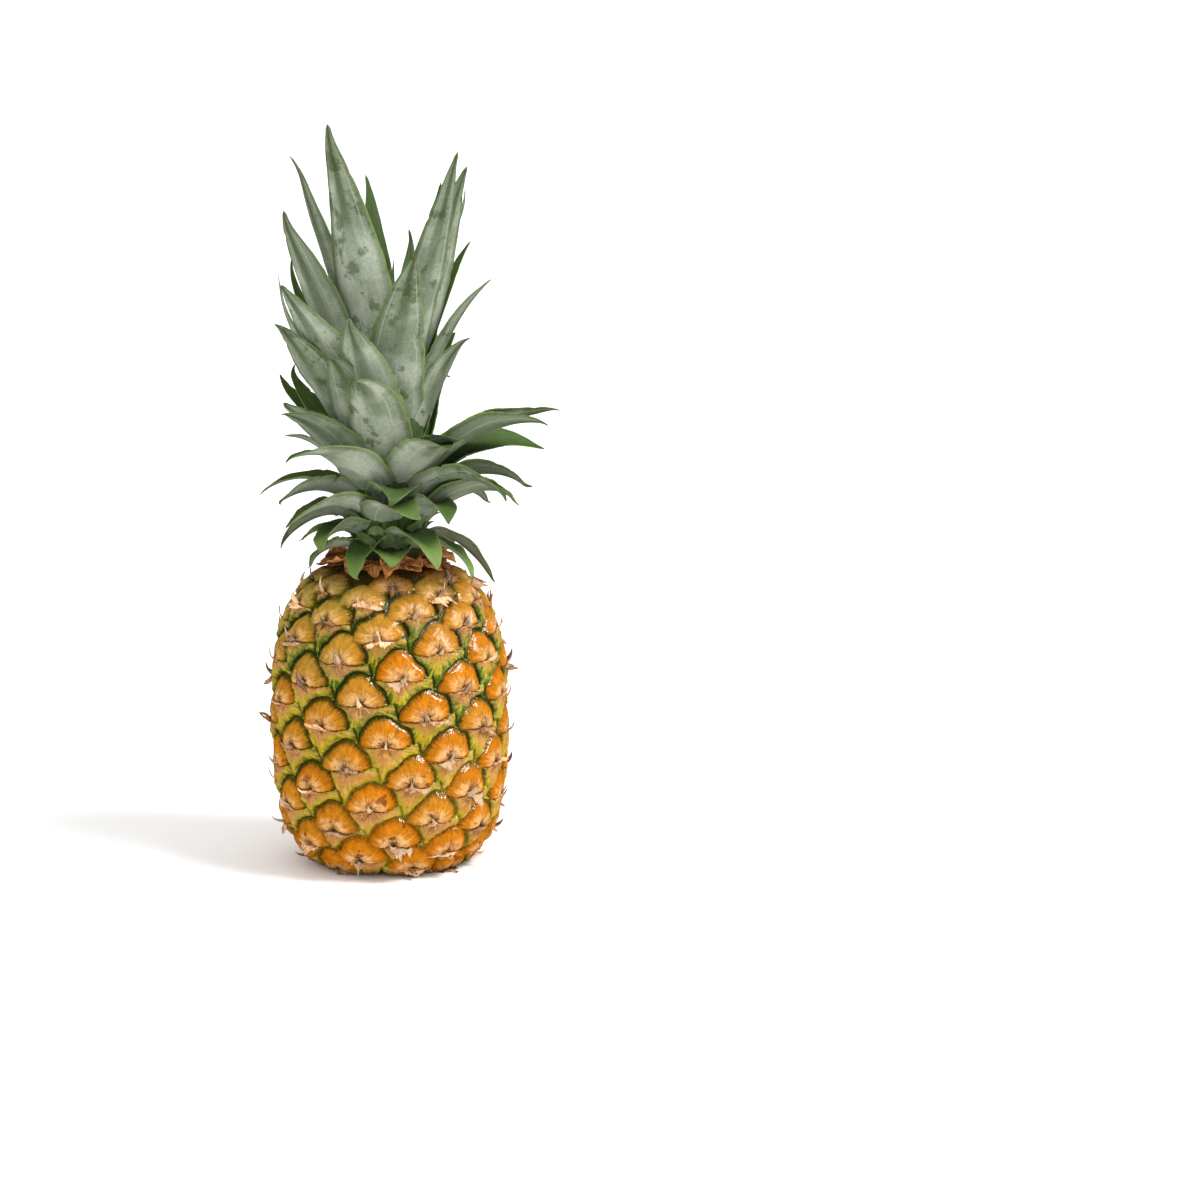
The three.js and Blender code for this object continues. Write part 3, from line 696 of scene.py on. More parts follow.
def worn_margin(shape, t, u):
    """The share of a blade's half width that is left where its margins are nicked."""
    left = np.ones((len(t), u.shape[1], 1))
    for nick in range(shape.get("nicks", 0)):
        kind = shape["angle"] + 3.7 * nick
        at = 0.35 + 0.62 * chance(kind, 80)
        side = 1 if chance(kind, 81) > 0.5 else -1
        wide = 0.007 + 0.009 * chance(kind, 82)
        bite = (0.04 + 0.12 * chance(kind, 83)) * np.exp(-(((t - at) / wide) ** 2))
        left = left - bite[:, None, None] * (np.sign(u) == side)
    return np.clip(left, 0.5, 1)


def blade_grids(shape, cuts_along, cuts_across):
    """Outer and inner grids of a cupped blade, with the across and along shares."""
    t = np.linspace(0, 1, cuts_along + 1)
    u = np.linspace(-1, 1, cuts_across + 1)[None, :, None]
    centre, across, inward = (part[:, None, :] for part in blade_frames(shape, t))
    taper = soft_along(shape["taper"], t)
    ragged = 1 + 0.02 * np.sin(t * 61 + shape["angle"]) * np.sin(t * 23 + 2 * shape["angle"])
    taper = taper * ragged
    taper[-1] = 0.01
    half = (shape["width"] / 2 * taper)[:, None, None] * worn_margin(shape, t, u)
    dry_end = (np.clip((t - 0.9) / 0.1, 0, 1) ** 2)[:, None, None]
    centre = centre + (across * shape.get("end_across", 0) + inward * shape.get("end_in", 0)) * dry_end
    curl = np.radians(soft_along(shape["cupping"], t))[:, None, None]
    bend = half / curl
    fold = (shape["fold"] * smooth_step(0.15, 0.9, t))[:, None, None]
    rise = (1 - fold) * (1 - np.cos(u * curl)) + fold * (1 - np.cos(curl)) * np.abs(u)
    wave = shape["wave"] * np.abs(u) ** 3 * taper[:, None, None]
    ripple = np.sin(shape["ripple"] * t[:, None, None] + 2.2 * np.sign(u) + shape["angle"])
    outer = centre + across * (bend * np.sin(u * curl)) + inward * (bend * rise + wave * ripple)
    middle = 1 - np.abs(u) ** 2.4
    thick = shape["edge"] + (shape["thickness"] - shape["edge"]) * middle
    thick = thick * (1 - 0.5 * t)[:, None, None] * np.clip(half / 1.5, 0.15, 1)
    return outer, outer + inward * thick, np.broadcast_to(u[..., 0], outer.shape[:2]), t


def add_blade(heap, shape, number, cuts_along, cuts_across):
    """One closed blade, with where it is across and along, and which face it is."""
    outer, inner, u, t = blade_grids(shape, cuts_along, cuts_across)
    points, faces = closed_sheet(outer, inner)
    share = np.broadcast_to(t[:, None], u.shape)
    place = np.stack([u.ravel(), share.ravel(), np.full(u.size, float(number))], axis=1)
    inside = np.concatenate([np.zeros(u.size), np.ones(u.size)])
    heap.add(points, faces, blade=np.concatenate([place, place]), inside=inside)


def leaf_shape(number, settings):
    """How the leaf of this number grows."""
    place = number / LEAF_SPAN
    angle = LEAF_START + LEAF_ANGLE * number
    right = math.cos(math.radians(angle))
    front = -math.sin(math.radians(angle))
    reach = along(REACH, place)
    if 0.12 < place < 0.5:
        reach += 8 * right
    if place < 0.33:
        reach -= 8 * max(0, front)
    reach, rise, sweep = OWN_TIP.get(number, (reach, along(RISE, place), 0))
    tip_lean = along(TIP_LEAN, place) - max(0, -right) * along(TIP_LEAN_LEFT, place)
    low = max(0, 1 - place / 0.17)
    root = (LEAF_ROOT_RADIUS - LEAF_ROOT_SHRINK * place, LEAF_ROOT + LEAF_ROOT_RISE * place)
    return {
        "angle": angle,
        "sweep": sweep,
        "controls": arch(
            root,
            (reach, FRUIT_HEIGHT + 1 + rise),
            along(ROOT_LEAN, place) + 16 * low,
            OWN_TIP_LEAN.get(number, tip_lean),
            along(ROOT_PULL, place) - 0.12 * low,
            along(TIP_PULL, place) - 0.1 * low,
        ),
        "twist": OWN_TWIST.get(number, -TWIST * right * (1 if front > -0.4 else -0.3)),
        "width": OWN_WIDTH.get(number, along(WIDTH, place)),
        "thickness": settings.thickness / MM,
        "edge": settings.edge / MM,
        "taper": [(0, along(ROOT_WIDTH, place)), *TAPER],
        "cupping": CUPPING,
        "wave": 0.5,
        "fold": 0.55,
        "ripple": 16 + 8 * chance(number, 14),
        "nicks": int(7 * chance(number, 84)),
        "end_across": swing(3.4, number, 85),
        "end_in": 5 * (chance(number, 86) - 0.4),
    }


def collar_shape(number, thickness):
    """One of the large dry scales of the collar."""
    reach = 28 + 4 * chance(number, 5)
    height = FRUIT_HEIGHT + 1.2 + 2 * chance(number, 6)
    root = (SCALE_ROOT, FRUIT_HEIGHT + GAP + COLLAR_HEIGHT * 0.55)
    return {
        "angle": number * 360 / SCALE_COUNT + swing(12, number, 7),
        "sweep": swing(16, number, 8),
        "controls": arch(root, (reach, height), 88, 75 + 20 * chance(number, 9), 0.35, 0.35),
        "twist": swing(16, number, 10),
        "width": SCALE_WIDTH,
        "thickness": thickness,
        "edge": thickness / 2,
        "taper": [(0, 0.8), (0.3, 1), (0.6, 0.75), (0.85, 0.35), (1, 0.05)],
        "cupping": [(0, 18), (1, 28)],
        "wave": 0.3,
        "fold": 0.0,
        "ripple": 19,
    }


def small_scale_shape(number, thickness):
    """A small curled scale between the large ones."""
    root = (16.5 + 2 * chance(number, 15), FRUIT_HEIGHT + 1.2 + 1.2 * chance(number, 16))
    reach = 22 + 8 * chance(number, 17)
    height = FRUIT_HEIGHT + 1.2 + 3 * chance(number, 18)
    return {
        **collar_shape(number, thickness),
        "angle": number * 137.5 + 9,
        "sweep": swing(30, number, 19),
        "controls": arch(root, (reach, height), 84, 40 + 80 * chance(number, 20), 0.4, 0.35),
        "twist": swing(40, number, 21),
        "width": 5 + 3.5 * chance(number, 22),
        "cupping": [(0, 30), (1, 60)],
    }


def withered_shape(number, thickness):
    """A withered leaf that lies over the fruit's shoulder and curls at its end."""
    reach = 28 + 9 * chance(number, 60)
    low = along([(26, 136.5), (32, 133.5), (38, 129)], reach)
    height = low + 1 + 4.5 * chance(number, 61) ** 2
    root = (17, FRUIT_HEIGHT + 2 + 1.5 * chance(number, 62))
    return {
        **collar_shape(number, thickness),
        "angle": number * 360 / WITHERED_COUNT + swing(14, number, 63),
        "sweep": swing(26, number, 64),
        "controls": arch(root, (reach, height), 82, 150 - 120 * chance(number, 65), 0.45, 0.3),
        "twist": swing(70, number, 66),
        "width": 10 + 6 * chance(number, 67),
        "taper": [(0, 0.7), (0.25, 1), (0.55, 0.8), (0.8, 0.4), (1, 0.03)],
        "cupping": [(0, 25), (0.6, 50), (1, 70)],
        "wave": 1.1,
        "fold": 0.4,
        "ripple": 14 + 9 * chance(number, 68),
    }


def stem_radius(height):
    """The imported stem's radius at a height."""
    return along([(z, r) for r, z in STEM_OUTLINE], height)


def heart_shape(number, settings):
    """One of the youngest leaves, closed over the top of the stem."""
    shape = leaf_shape(LEAF_COUNT - 1, settings)
    root = (6.5 - 0.5 * number, 218 + 1.5 * number)
    tip = (9.5 - 0.8 * number, 256 + 2.5 * number + 5 * chance(number, 70))
    return {
        **shape,
        "angle": LEAF_START + LEAF_ANGLE * (LEAF_COUNT + number),
        "sweep": 0,
        "controls": arch(root, tip, 2, 2, 0.4, 0.4),
        "twist": 0,
        "width": 17 - 1.2 * number,
    }


def basal_shape(number, settings):
    """A small bract that hugs the stem below the lowest leaves."""
    rise = 139.5 + 12 * chance(number, 23)
    radius = stem_radius(rise)
    tip = (radius + 5 + 5 * chance(number, 24), rise + 9 + 5 * chance(number, 25))
    return {
        "angle": number * 137.5 + 40,
        "sweep": swing(14, number, 26),
        "controls": arch((radius - 1, rise - 1), tip, 14, 40 + 50 * chance(number, 27), 0.4, 0.3),
        "twist": swing(12, number, 28),
        "width": 11 + 4 * chance(number, 29),
        "thickness": settings.thickness / MM * 0.7,
        "edge": settings.edge / MM,
        "taper": [(0, 1), (0.35, 0.85), (0.7, 0.42), (1, 0.03)],
        "cupping": [(0, 34), (1, 22)],
        "wave": 0.2,
        "fold": 0.3,
        "ripple": 12,
    }


# ---------------------------------------------------------------- dry lips and papery tips


def add_lip(heap, eye, height, relief):
    """The thin dried edge that runs along under one eye's lip."""
    home_angle, home = eye_home(eye)
    span = BRACT_HALF_WIDTH - 5.5
    across = np.linspace(-span, span, 37)[:, None]
    share = np.clip(1 - (across / span) ** 2, 0, 1) * (0.45 + 0.55 * np.exp(-((across / 5) ** 2)))
    torn = np.sin(across * 0.9 + eye) * np.sin(across * 0.37 + 2 * eye)
    torn = torn + 0.5 * np.sin(across * 2.9 + eye)
    rough = np.clip(0.45 + 1.1 * torn, 0, 2)
    profile_up = np.array([-1.9, -1.5, -1.1, -0.85, -0.75])[None, :]
    profile_out = np.array([-0.5, 0.3, 1.0, 0.8, -0.6])[None, :]
    distance = home + lip_line(eye, across) + profile_up * (0.5 + 0.5 * share)
    radius, _ = skin_at(distance)
    angle = home_angle + across / radius
    raised = (profile_out * height * rough - 0.15) * share - 0.6 * (1 - share) ** 2
    lift = np.where(profile_out > 0, raised, profile_out)
    base = skin_height(skin_fields(*net_steps(angle, distance), relief))
    points = over_skin(angle, distance, np.minimum(base + 0.4, base[:, :1]) + lift)
    number = np.arange(points.shape[0] * points.shape[1]).reshape(points.shape[:2])
    corners = [number[:-1, :-1], number[1:, :-1], number[1:, 1:], number[:-1, 1:]]
    faces = np.stack([corner.ravel() for corner in corners], axis=1)
    place = places_on(across / span, profile_out, base.shape, eye)
    heap.add(points.reshape(-1, 3), faces, blade=place)


def places_on(across, share, shape, number):
    """Where each point of a grid is across and along, and the number of what it belongs to."""
    parts = (across, share, np.array([[float(number)]]))
    return np.stack([np.broadcast_to(part, shape).ravel() for part in parts], axis=1)


def point_reach(eye):
    """How far an eye's dry point goes outward, upward and sideways."""
    size = POINT_LENGTH * (0.6 + 0.7 * chance(eye, 2))
    lift = math.radians(22 + 50 * chance(eye, 1) ** 3)
    lean = math.radians(swing(70, eye, 3))
    flat = size * math.cos(lift)
    return size * math.sin(lift), flat * math.cos(lean), flat * math.sin(lean)


def add_paper_tip(heap, eye, thickness, relief):
    """A curled papery tip that stands over the middle of a lip."""
    angle, home = eye_home(eye)
    out, up, side = (0.94 * part for part in point_reach(eye))
    foot = rind_point(np.array([angle]), np.array([home - 1.4]), -0.3, relief)[0]
    lip = over_skin(np.array([angle]), np.array([home]), np.array([relief]))[0]
    outward = unit(over_skin(angle, home, 1.0) - over_skin(angle, home, 0.0))
    upward = unit(over_skin(angle, home + 0.5, 0.0) - over_skin(angle, home - 0.5, 0.0))
    sideways = np.array([-math.sin(angle), math.cos(angle), 0])
    tip = lip + outward * out + upward * up + sideways * side
    bow = foot + outward * (1.4 + 0.7 * out) + upward * 0.3 * up + sideways * 0.2 * side
    t = np.linspace(0, 1, 11)[:, None]
    centre = (1 - t) ** 2 * foot + 2 * (1 - t) * t * bow + t**2 * tip
    ahead = unit(np.gradient(centre, axis=0))
    across = unit(np.cross(ahead, outward))
    inward = np.cross(across, ahead)
    turn = math.radians(swing(110, eye, 32)) * t
    across, inward = (
        across * np.cos(turn) + inward * np.sin(turn),
        inward * np.cos(turn) - across * np.sin(turn),
    )
    half = 1.0 + 2.0 * chance(eye, 33) ** 2
    half = half * soft_along([(0, 1), (0.35, 0.8), (0.7, 0.4), (1, 0.02)], t[:, 0])
    half = half[:, None, None]
    curl = math.radians(40 + 40 * chance(eye, 34))
    u = np.linspace(-1, 1, 7)[None, :, None]
    outer = centre[:, None] + across[:, None] * half / curl * np.sin(u * curl)
    outer = outer - inward[:, None] * half / curl * (1 - np.cos(u * curl))
    points, faces = closed_sheet(outer + inward[:, None] * thickness, outer)
    place = places_on(u[..., 0], t, outer.shape[:2], eye)
    heap.add(points, faces, blade=np.concatenate([place, place]))


def add_flap(heap, eye, thickness, relief):
    """A torn sheet of dry skin that curls away from one side of a lip."""
    home_angle, home = eye_home(eye)
    middle = swing(8, eye, 51)
    span = 3 + 4.2 * chance(eye, 52)
    across = (middle + span * np.linspace(-1, 1, 19))[:, None]
    t = np.linspace(0, 1, 8)[None, :]
    torn = 0.7 + 0.3 * np.sin(across * 1.1 + eye) + 0.2 * np.sin(across * 3.7 + 2 * eye)
    rounding = np.sqrt(np.clip(1.02 - ((across - middle) / span) ** 2, 0, 1))
    reach = (3 + 4.6 * chance(eye, 53)) * torn * rounding
    curl = t * (1.0 + 1.8 * chance(eye, 54))
    down = reach * np.sin(curl) / curl.max() * (1 if chance(eye, 55) > 0.35 else -0.8)
    lift = 0.3 + reach * (1 - np.cos(curl)) / curl.max()
    distance = home + lip_line(eye, across) - 1.1 - down
    radius, _ = skin_at(distance)
    angle = home_angle + across / radius + 0.05 * t * (chance(eye, 56) - 0.5)
    base = skin_height(skin_fields(*net_steps(angle, distance), relief))
    over = np.maximum(base[:, :1] + lift, base + 0.15)
    outer = over_skin(angle, distance, over + thickness)
    points, faces = closed_sheet(outer, over_skin(angle, distance, over))
    place = places_on((across - middle) / span, t, base.shape, eye)
    heap.add(points, faces, blade=np.concatenate([place, place]))


# ---------------------------------------------------------------- materials


class Wire:
    """What a node gives out. Sums with it lay down the nodes that work them out."""

    def __init__(self, recipe, socket):
        self.recipe, self.socket = recipe, socket

    def __add__(self, other):
        return self.recipe.sum("ADD", self, other)

    def __sub__(self, other):
        return self.recipe.sum("SUBTRACT", self, other)

    def __rsub__(self, other):
        return self.recipe.sum("SUBTRACT", other, self)

    def __mul__(self, other):
        return self.recipe.sum("MULTIPLY", self, other)

    def __truediv__(self, other):
        return self.recipe.sum("DIVIDE", self, other)

    def __pow__(self, other):
        return self.recipe.sum("POWER", self, other)

    def __abs__(self):
        return self.recipe.sum("ABSOLUTE", self)


class Recipe:
    """A material whose nodes are laid down one after another."""

    def __init__(self, name):
        self.material = bpy.data.materials.new(name)
        self.material.use_nodes = True
        self.tree = self.material.node_tree
        self.tree.nodes.clear()

    def node(self, kind, inputs, **settings):
        """A node whose inputs are wires, numbers or colours."""
        made = self.tree.nodes.new("ShaderNode" + kind)
        for key, value in settings.items():
            setattr(made, key, value)
        for key, value in inputs.items():
            socket = made.inputs[key]
            if isinstance(value, Wire):
                self.tree.links.new(value.socket, socket)
            elif hasattr(socket.default_value, "__len__") and len(value) == 3:
                socket.default_value = (*value, 1)[: len(socket.default_value)]
            else:
                socket.default_value = value
        return made

    def wire(self, output, kind, inputs, **settings):
        """One output of a new node."""
        return Wire(self, self.node(kind, inputs, **settings).outputs[output])

    def sum(self, operation, a, b=0.0):
        return self.wire(0, "Math", {0: a, 1: b}, operation=operation)

    def most(self, a, b):
        return self.sum("MAXIMUM", a, b)

    def least(self, a, b):
        return self.sum("MINIMUM", a, b)

    def root(self, value):
        return self.sum("SQRT", value)

    def sine(self, value):
        return self.sum("SINE", value)

    def turn(self, up, across):
        """The angle from straight across to a point, in radians."""
        return self.sum("ARCTAN2", up, across)

    def clamp(self, value):
        """The value, held between 0 and 1."""
        return self.wire(0, "Clamp", {0: value})

    def ramp(self, value, low, high, start=0.0, end=1.0):
        """start below low, end above high, and a smooth change between them."""
        inputs = {"Value": value, "From Min": low, "From Max": high, "To Min": start, "To Max": end}
        return self.wire(0, "MapRange", inputs, interpolation_type="SMOOTHSTEP")

    def mix(self, factor, a, b, blend="MIX"):
        """Colour a where the factor is 0 and b where it is 1."""
        return self.wire(2, "Mix", {0: factor, 6: a, 7: b}, data_type="RGBA", blend_type=blend)

    def shade(self, made, tone):
        """The same colour, darker or lighter by a tone."""
        return self.mix(1.0, made, self.join(tone, tone, tone), "MULTIPLY")

    def split(self, vector):
        """A vector's three numbers."""
        parts = self.node("SeparateXYZ", {0: vector})
        return [Wire(self, part) for part in parts.outputs[:3]]

    def join(self, x, y, z):
        return self.wire(0, "CombineXYZ", {0: x, 1: y, 2: z})

    def read(self, name):
        """A vector that the mesh carries, split into its three numbers."""
        return self.split(self.wire("Vector", "Attribute", {}, attribute_name=name))

    def number(self, name):
        """A number that the mesh carries."""
        return self.wire("Fac", "Attribute", {}, attribute_name=name)

    def random(self, number, kind):
        """A number from 0 to 1 that looks random, another for every kind."""
        shifted = number + kind * 31.7
        return self.wire("Value", "TexWhiteNoise", {"W": shifted}, noise_dimensions="1D")

    def noise(self, vector, scale, detail=3.0, roughness=0.55):
        inputs = {"Vector": vector, "Scale": scale, "Detail": detail, "Roughness": roughness}
        return self.wire(0, "TexNoise", inputs)

    def position(self):
        """Where the point is on the object, in metres."""
        return self.wire("Object", "TexCoord", {})

    def bump(self, height, depth, strength=1.0, normal=None):
        """Relief of a depth in metres, laid over what is there."""
        inputs = {"Height": height, "Distance": depth, "Strength": strength}
        if normal is not None:
            inputs["Normal"] = normal
        return self.wire(0, "Bump", inputs)

    def finish(self, **sockets):
        """The material, with these inputs of its surface set."""
        inputs = {key.replace("_", " "): value for key, value in sockets.items()}
        self.node("OutputMaterial", {"Surface": self.wire(0, "BsdfPrincipled", inputs)})
        return self.material


def greenness(recipe, position, eye):
    """How green an eye's dome still is and how green its bract is, from 0 to 1."""
    x, _, z = recipe.split(position)
    patch = recipe.noise(position, 55, 2) * 0.5
    left = recipe.ramp(x, 0.012, -0.045)
    dome = left * recipe.ramp(z, 0.045, 0.12, 0.0, 0.75)
    dome += recipe.random(eye, 1) * 0.4
    dome += recipe.ramp(z, 0.106, 0.127, 0.0, 0.4)
    dome = dome + patch - 0.42
    bract = recipe.ramp(z, 0.01, 0.115) + left * 0.12
    bract += recipe.random(eye, 5) * 0.5
    bract = bract + patch - 0.55
    return tuple(recipe.clamp(value) for value in (dome, bract))


def dome_colour(recipe, settings, at, depth, rays, green, edge_green):
    """Two pale peach patches beside the star, part pale skin and part painted sheen, then orange flank,
    amber shoulder and an olive rim; depth is mm from the rim.
    """
    across, fall, eye = at
    loose = (rays - 0.5) * 5
    fringe = depth + loose
    made = recipe.mix(recipe.ramp(fringe, 1.2, 4.2), settings.amber, settings.orange)
    spots = recipe.noise(recipe.join(across * 0.35, fall * 0.35, eye), 1.3, 4)
    out = recipe.root((abs(across) - 2.8) ** 2 + (fall - 1.4) ** 2)
    # Pale peach beside the star: the dome's pale skin, lightened as a painted reflection of the white
    # surroundings.
    cheek_sheen = recipe.ramp(out - loose, 5.6, 1.4, 0.0, 0.95)
    cheek_sheen *= recipe.ramp(depth, 0.8, 2.6)
    cheek_sheen *= recipe.ramp(spots, 0.34, 0.56, 0.4, 1.0)
    made = recipe.mix(recipe.ramp(recipe.random(eye, 8), 0.2, 1.0, 0.0, 0.45), made, settings.amber)
    made = recipe.mix(green * 0.85, made, settings.unripe)
    cheek_sheen *= recipe.ramp(green, 0.0, 1.0, 1.0, 0.6)
    made = recipe.mix(cheek_sheen, made, settings.peach)
    tone = recipe.ramp(rays, 0.32, 0.62, 0.84, 1.07)
    tone *= recipe.ramp(spots, 0.3, 0.6, 0.84, 1.06)
    made = recipe.shade(made, tone)
    turn = recipe.turn(fall, across)
    side = recipe.sine(turn + recipe.ramp(recipe.random(eye, 7), 0, 1, 0, 6.28))
    halo = side * 0.7 + green * 1.5
    shade = recipe.clamp((halo + 1.0 - fringe) / 1.4)
    strength = recipe.ramp(edge_green, 0.0, 0.5, 0.5, 0.88)
    return recipe.mix(shade * strength, made, settings.olive)


def bract_colour(recipe, settings, at, depth, green):
    """Green by the grooves, then yellow-green, then tan round the star; depth is mm in."""
    across, fall, eye = at
    fan = recipe.join(recipe.turn(across, 2.5 - fall) * 8, fall * 0.08, eye)
    streaks = recipe.noise(fan, 1.3, 5, 0.65)
    spots = recipe.join(across * 0.3, fall * 0.4, eye)
    blots = recipe.noise(spots, 1.0, 6, 0.6)
    loose = blots * 7 + streaks * 6
    ripe = depth + (loose - 6.2)
    ripe -= green * 4.8
    edge_ripe = recipe.mix(0.4, settings.olive, settings.amber)
    edge_green = recipe.mix(green, edge_ripe, settings.bract_green)
    made = recipe.mix(recipe.ramp(ripe, -2.4, 0.4), edge_green, settings.bract_yellow)
    made = recipe.mix(recipe.ramp(ripe, 0.4, 3.6), made, settings.bract_tan)
    side = abs(across)
    wing = recipe.ramp(side, 6.5, 12) * recipe.ramp(fall, -3.6, -1.4, 0.0, 0.8)
    wing *= recipe.ramp(blots, 0.4, 0.56)
    made = recipe.mix(wing, made, settings.bract_wing)
    # Pale patches and streaks: the bract's waxy bloom and a painted sheen on its pleats.
    waxy = recipe.noise(recipe.join(across + 40, fall, eye), 0.45, 5, 0.65)
    made = recipe.mix(recipe.ramp(waxy, 0.5, 0.66, 0.0, 0.5), made, settings.bract_sheen)
    made = recipe.mix(recipe.ramp(waxy, 0.46, 0.34, 0.0, 0.4), made, settings.olive)
    made = recipe.mix(recipe.ramp(streaks, 0.5, 0.64, 0.0, 0.42), made, settings.bract_sheen)
    fold = recipe.ramp(abs(fall + 1.7), 1.2, 0.3, 0.0, 0.7)
    fold *= recipe.ramp(blots, 0.36, 0.54, 0.25, 1.0)
    made = recipe.mix(fold, made, settings.dry_pink)
    pale = recipe.ramp(streaks, 0.36, 0.68, 0.88, 1.14)
    return recipe.shade(made, pale), streaks, blots


def groove_mask(recipe, rim, seam, turn):
    """1 in the toothed grooves round the domes and in the seams between bracts."""
    wave = recipe.noise(recipe.join(turn, 0.0, 0.0), 5, 2) * 14
    teeth = recipe.sine(turn * 78 + wave)
    off = abs(rim - 0.35)
    off += teeth * 0.16
    round_dome = recipe.ramp(off, 0.7, 0.3)
    between = recipe.ramp(seam, 0.75, 0.2) * recipe.ramp(rim, 0.2, 0.8)
    return recipe.most(round_dome, between), teeth


def star_colour(recipe, settings, made, at, rays, streaks, blots):
    """Pinkish dry skin, pale and purplish lines and a dark star round the middle of the lip."""
    across, fall, eye = at
    out = recipe.root(across**2 + fall**2)
    kept = recipe.ramp(recipe.random(eye, 11), 0, 1, 0.4, 1.0)
    below = recipe.ramp(fall, 0.5, -1.6) * kept
    spread = out + streaks * 7
    spread -= blots * 20
    dry = recipe.ramp(spread, 1.6, -2.4, 0.0, 0.75) * below
    made = recipe.mix(dry, made, settings.dry_pink)
    pale = recipe.ramp(streaks, 0.44, 0.36, 0.0, 0.7) * below
    pale *= recipe.ramp(out, 9.0, 3.0)
    made = recipe.mix(pale, made, settings.paper_colour)
    lines = recipe.ramp(streaks, 0.53, 0.6)
    lines = recipe.most(lines, recipe.ramp(blots, 0.53, 0.58, 0.0, 0.85))
    lines *= below
    lines *= recipe.ramp(out, 9.0, 3.0, 0.0, 0.68)
    made = recipe.mix(lines, made, settings.purple)
    reach = out - rays * 19
    star = recipe.ramp(reach, -7.4, -8.8, 0.0, 0.95)
    return recipe.mix(star, made, settings.brown), star


def end_colour(recipe, settings, made, position, grain, rim):
    """Scars on the ripest eyes and dry skin at both ends."""
    _, _, z = recipe.split(position)
    scar = recipe.ramp(recipe.noise(position, 150, 2), 0.63, 0.68)
    scar *= recipe.ramp(z, 0.085, 0.03, 0.0, 0.75)
    scar *= recipe.ramp(rim, 0.0, -1.0)
    made = recipe.mix(scar, made, settings.scar)
    ends = recipe.most(recipe.ramp(z, 0.127, 0.1355), recipe.ramp(z, 0.006, 0.0))
    ends *= recipe.ramp(grain, 0.35, 0.6, 0.35, 0.75)
    return recipe.mix(ends, made, settings.brown)


def lip_mask(recipe, across, fall, position):
    """1 along the dark line under a dome, broken and fading away from the star."""
    line = recipe.ramp(abs(fall + 0.65), 0.5, 0.1)
    line *= recipe.ramp(abs(across), 11.0, 3.0, 0.25, 1.0)
    return line * recipe.ramp(recipe.noise(position, 420, 3), 0.42, 0.58, 0.1, 0.85)


def rind_bumps(recipe, rim, teeth, rays, streaks, blots, grain, position):
    """The beaded ridge inside each rim, then rays, streaks, pits and grain."""
    beads = teeth * recipe.ramp(abs(rim), 1.8, 0.2)
    normal = recipe.bump(beads, 0.0003, 0.6)
    ring = recipe.ramp(abs(rim + 1.0), 0.85, 0.0)
    ring *= recipe.ramp(recipe.noise(position, 800, 2), 0.4, 0.6, 0.3, 1.0)
    normal = recipe.bump(ring, 0.0006, 0.8, normal)
    normal = recipe.bump(rays, 0.0008, 0.5, normal)
    normal = recipe.bump(streaks, 0.0009, 0.6, normal)
    normal = recipe.bump(blots, 0.003, 0.6, normal)
    return recipe.bump(grain, 0.0002, 0.3, normal)


def wet_bumps(recipe, rim, teeth, rays):
    """The gentler relief of the wet wax: beads along each rim and faint rays."""
    beads = teeth * recipe.ramp(abs(rim), 3.2, 0.4)
    normal = recipe.bump(beads, 0.0001, 0.3)
    return recipe.bump(rays, 0.0003, 0.15, normal)


def rind_material(settings):
    """Ripe eyes between green grooves, with dried stars, lips and a few scars."""
    recipe = Recipe("pineapple rind")
    at = across, fall, eye = recipe.read("eye_at")
    rim, seam = recipe.number("rim"), recipe.number("seam")
    position = recipe.position()
    grain = recipe.noise(position, 1400, 3)
    turn = recipe.turn(fall, across)
    out = abs(across) + abs(fall)
    rays = recipe.noise(recipe.join(turn * 5, out * 0.1, eye), 1.4, 5, 0.62)
    dome_green, bract_green = greenness(recipe, position, eye)
    depth = rim * -1
    dome = dome_colour(recipe, settings, at, depth, rays, dome_green, bract_green)
    inner = recipe.least(rim, seam)
    bract, streaks, blots = bract_colour(recipe, settings, at, inner, bract_green)
    in_dome = recipe.ramp(fall, -1.0, -0.5) * recipe.ramp(rim, 0.2, -0.2)
    made = recipe.mix(in_dome, bract, dome)
    made, star = star_colour(recipe, settings, made, at, rays, streaks, blots)
    lip = lip_mask(recipe, across, fall, position)
    made = recipe.mix(lip, made, settings.brown)
    groove, teeth = groove_mask(recipe, rim, seam, turn)
    # Dark green in the grooves and seams: the rind's own green, deepened as painted crease shade.
    deep = recipe.mix(bract_green, settings.olive, settings.groove)
    strength = recipe.ramp(bract_green, 0.0, 0.45, 0.56, 0.94)
    made = recipe.mix(groove * strength, made, deep)
    made = end_colour(recipe, settings, made, position, grain, rim)
    speckle = recipe.ramp(grain, 0.3, 0.7, 0.92, 1.06)
    made = recipe.shade(made, speckle)
    dried = recipe.most(star, recipe.most(lip, groove))
    rough = recipe.ramp(in_dome, 0, 1, 0.5, 0.2) + dried * 0.25
    rough += grain * 0.1
    normal = rind_bumps(recipe, rim, teeth, rays, streaks, blots, grain, position)
    wax = recipe.ramp(abs(rim + 0.6), 3.0, 0.9, 0.2, 1.0)
    return recipe.finish(
        Base_Color=made, Roughness=rough, Normal=normal, Coat_Weight=wax,
        Coat_Normal=wet_bumps(recipe, rim, teeth, rays),
        Specular_IOR_Level=0.08, Coat_Roughness=0.07,
    )


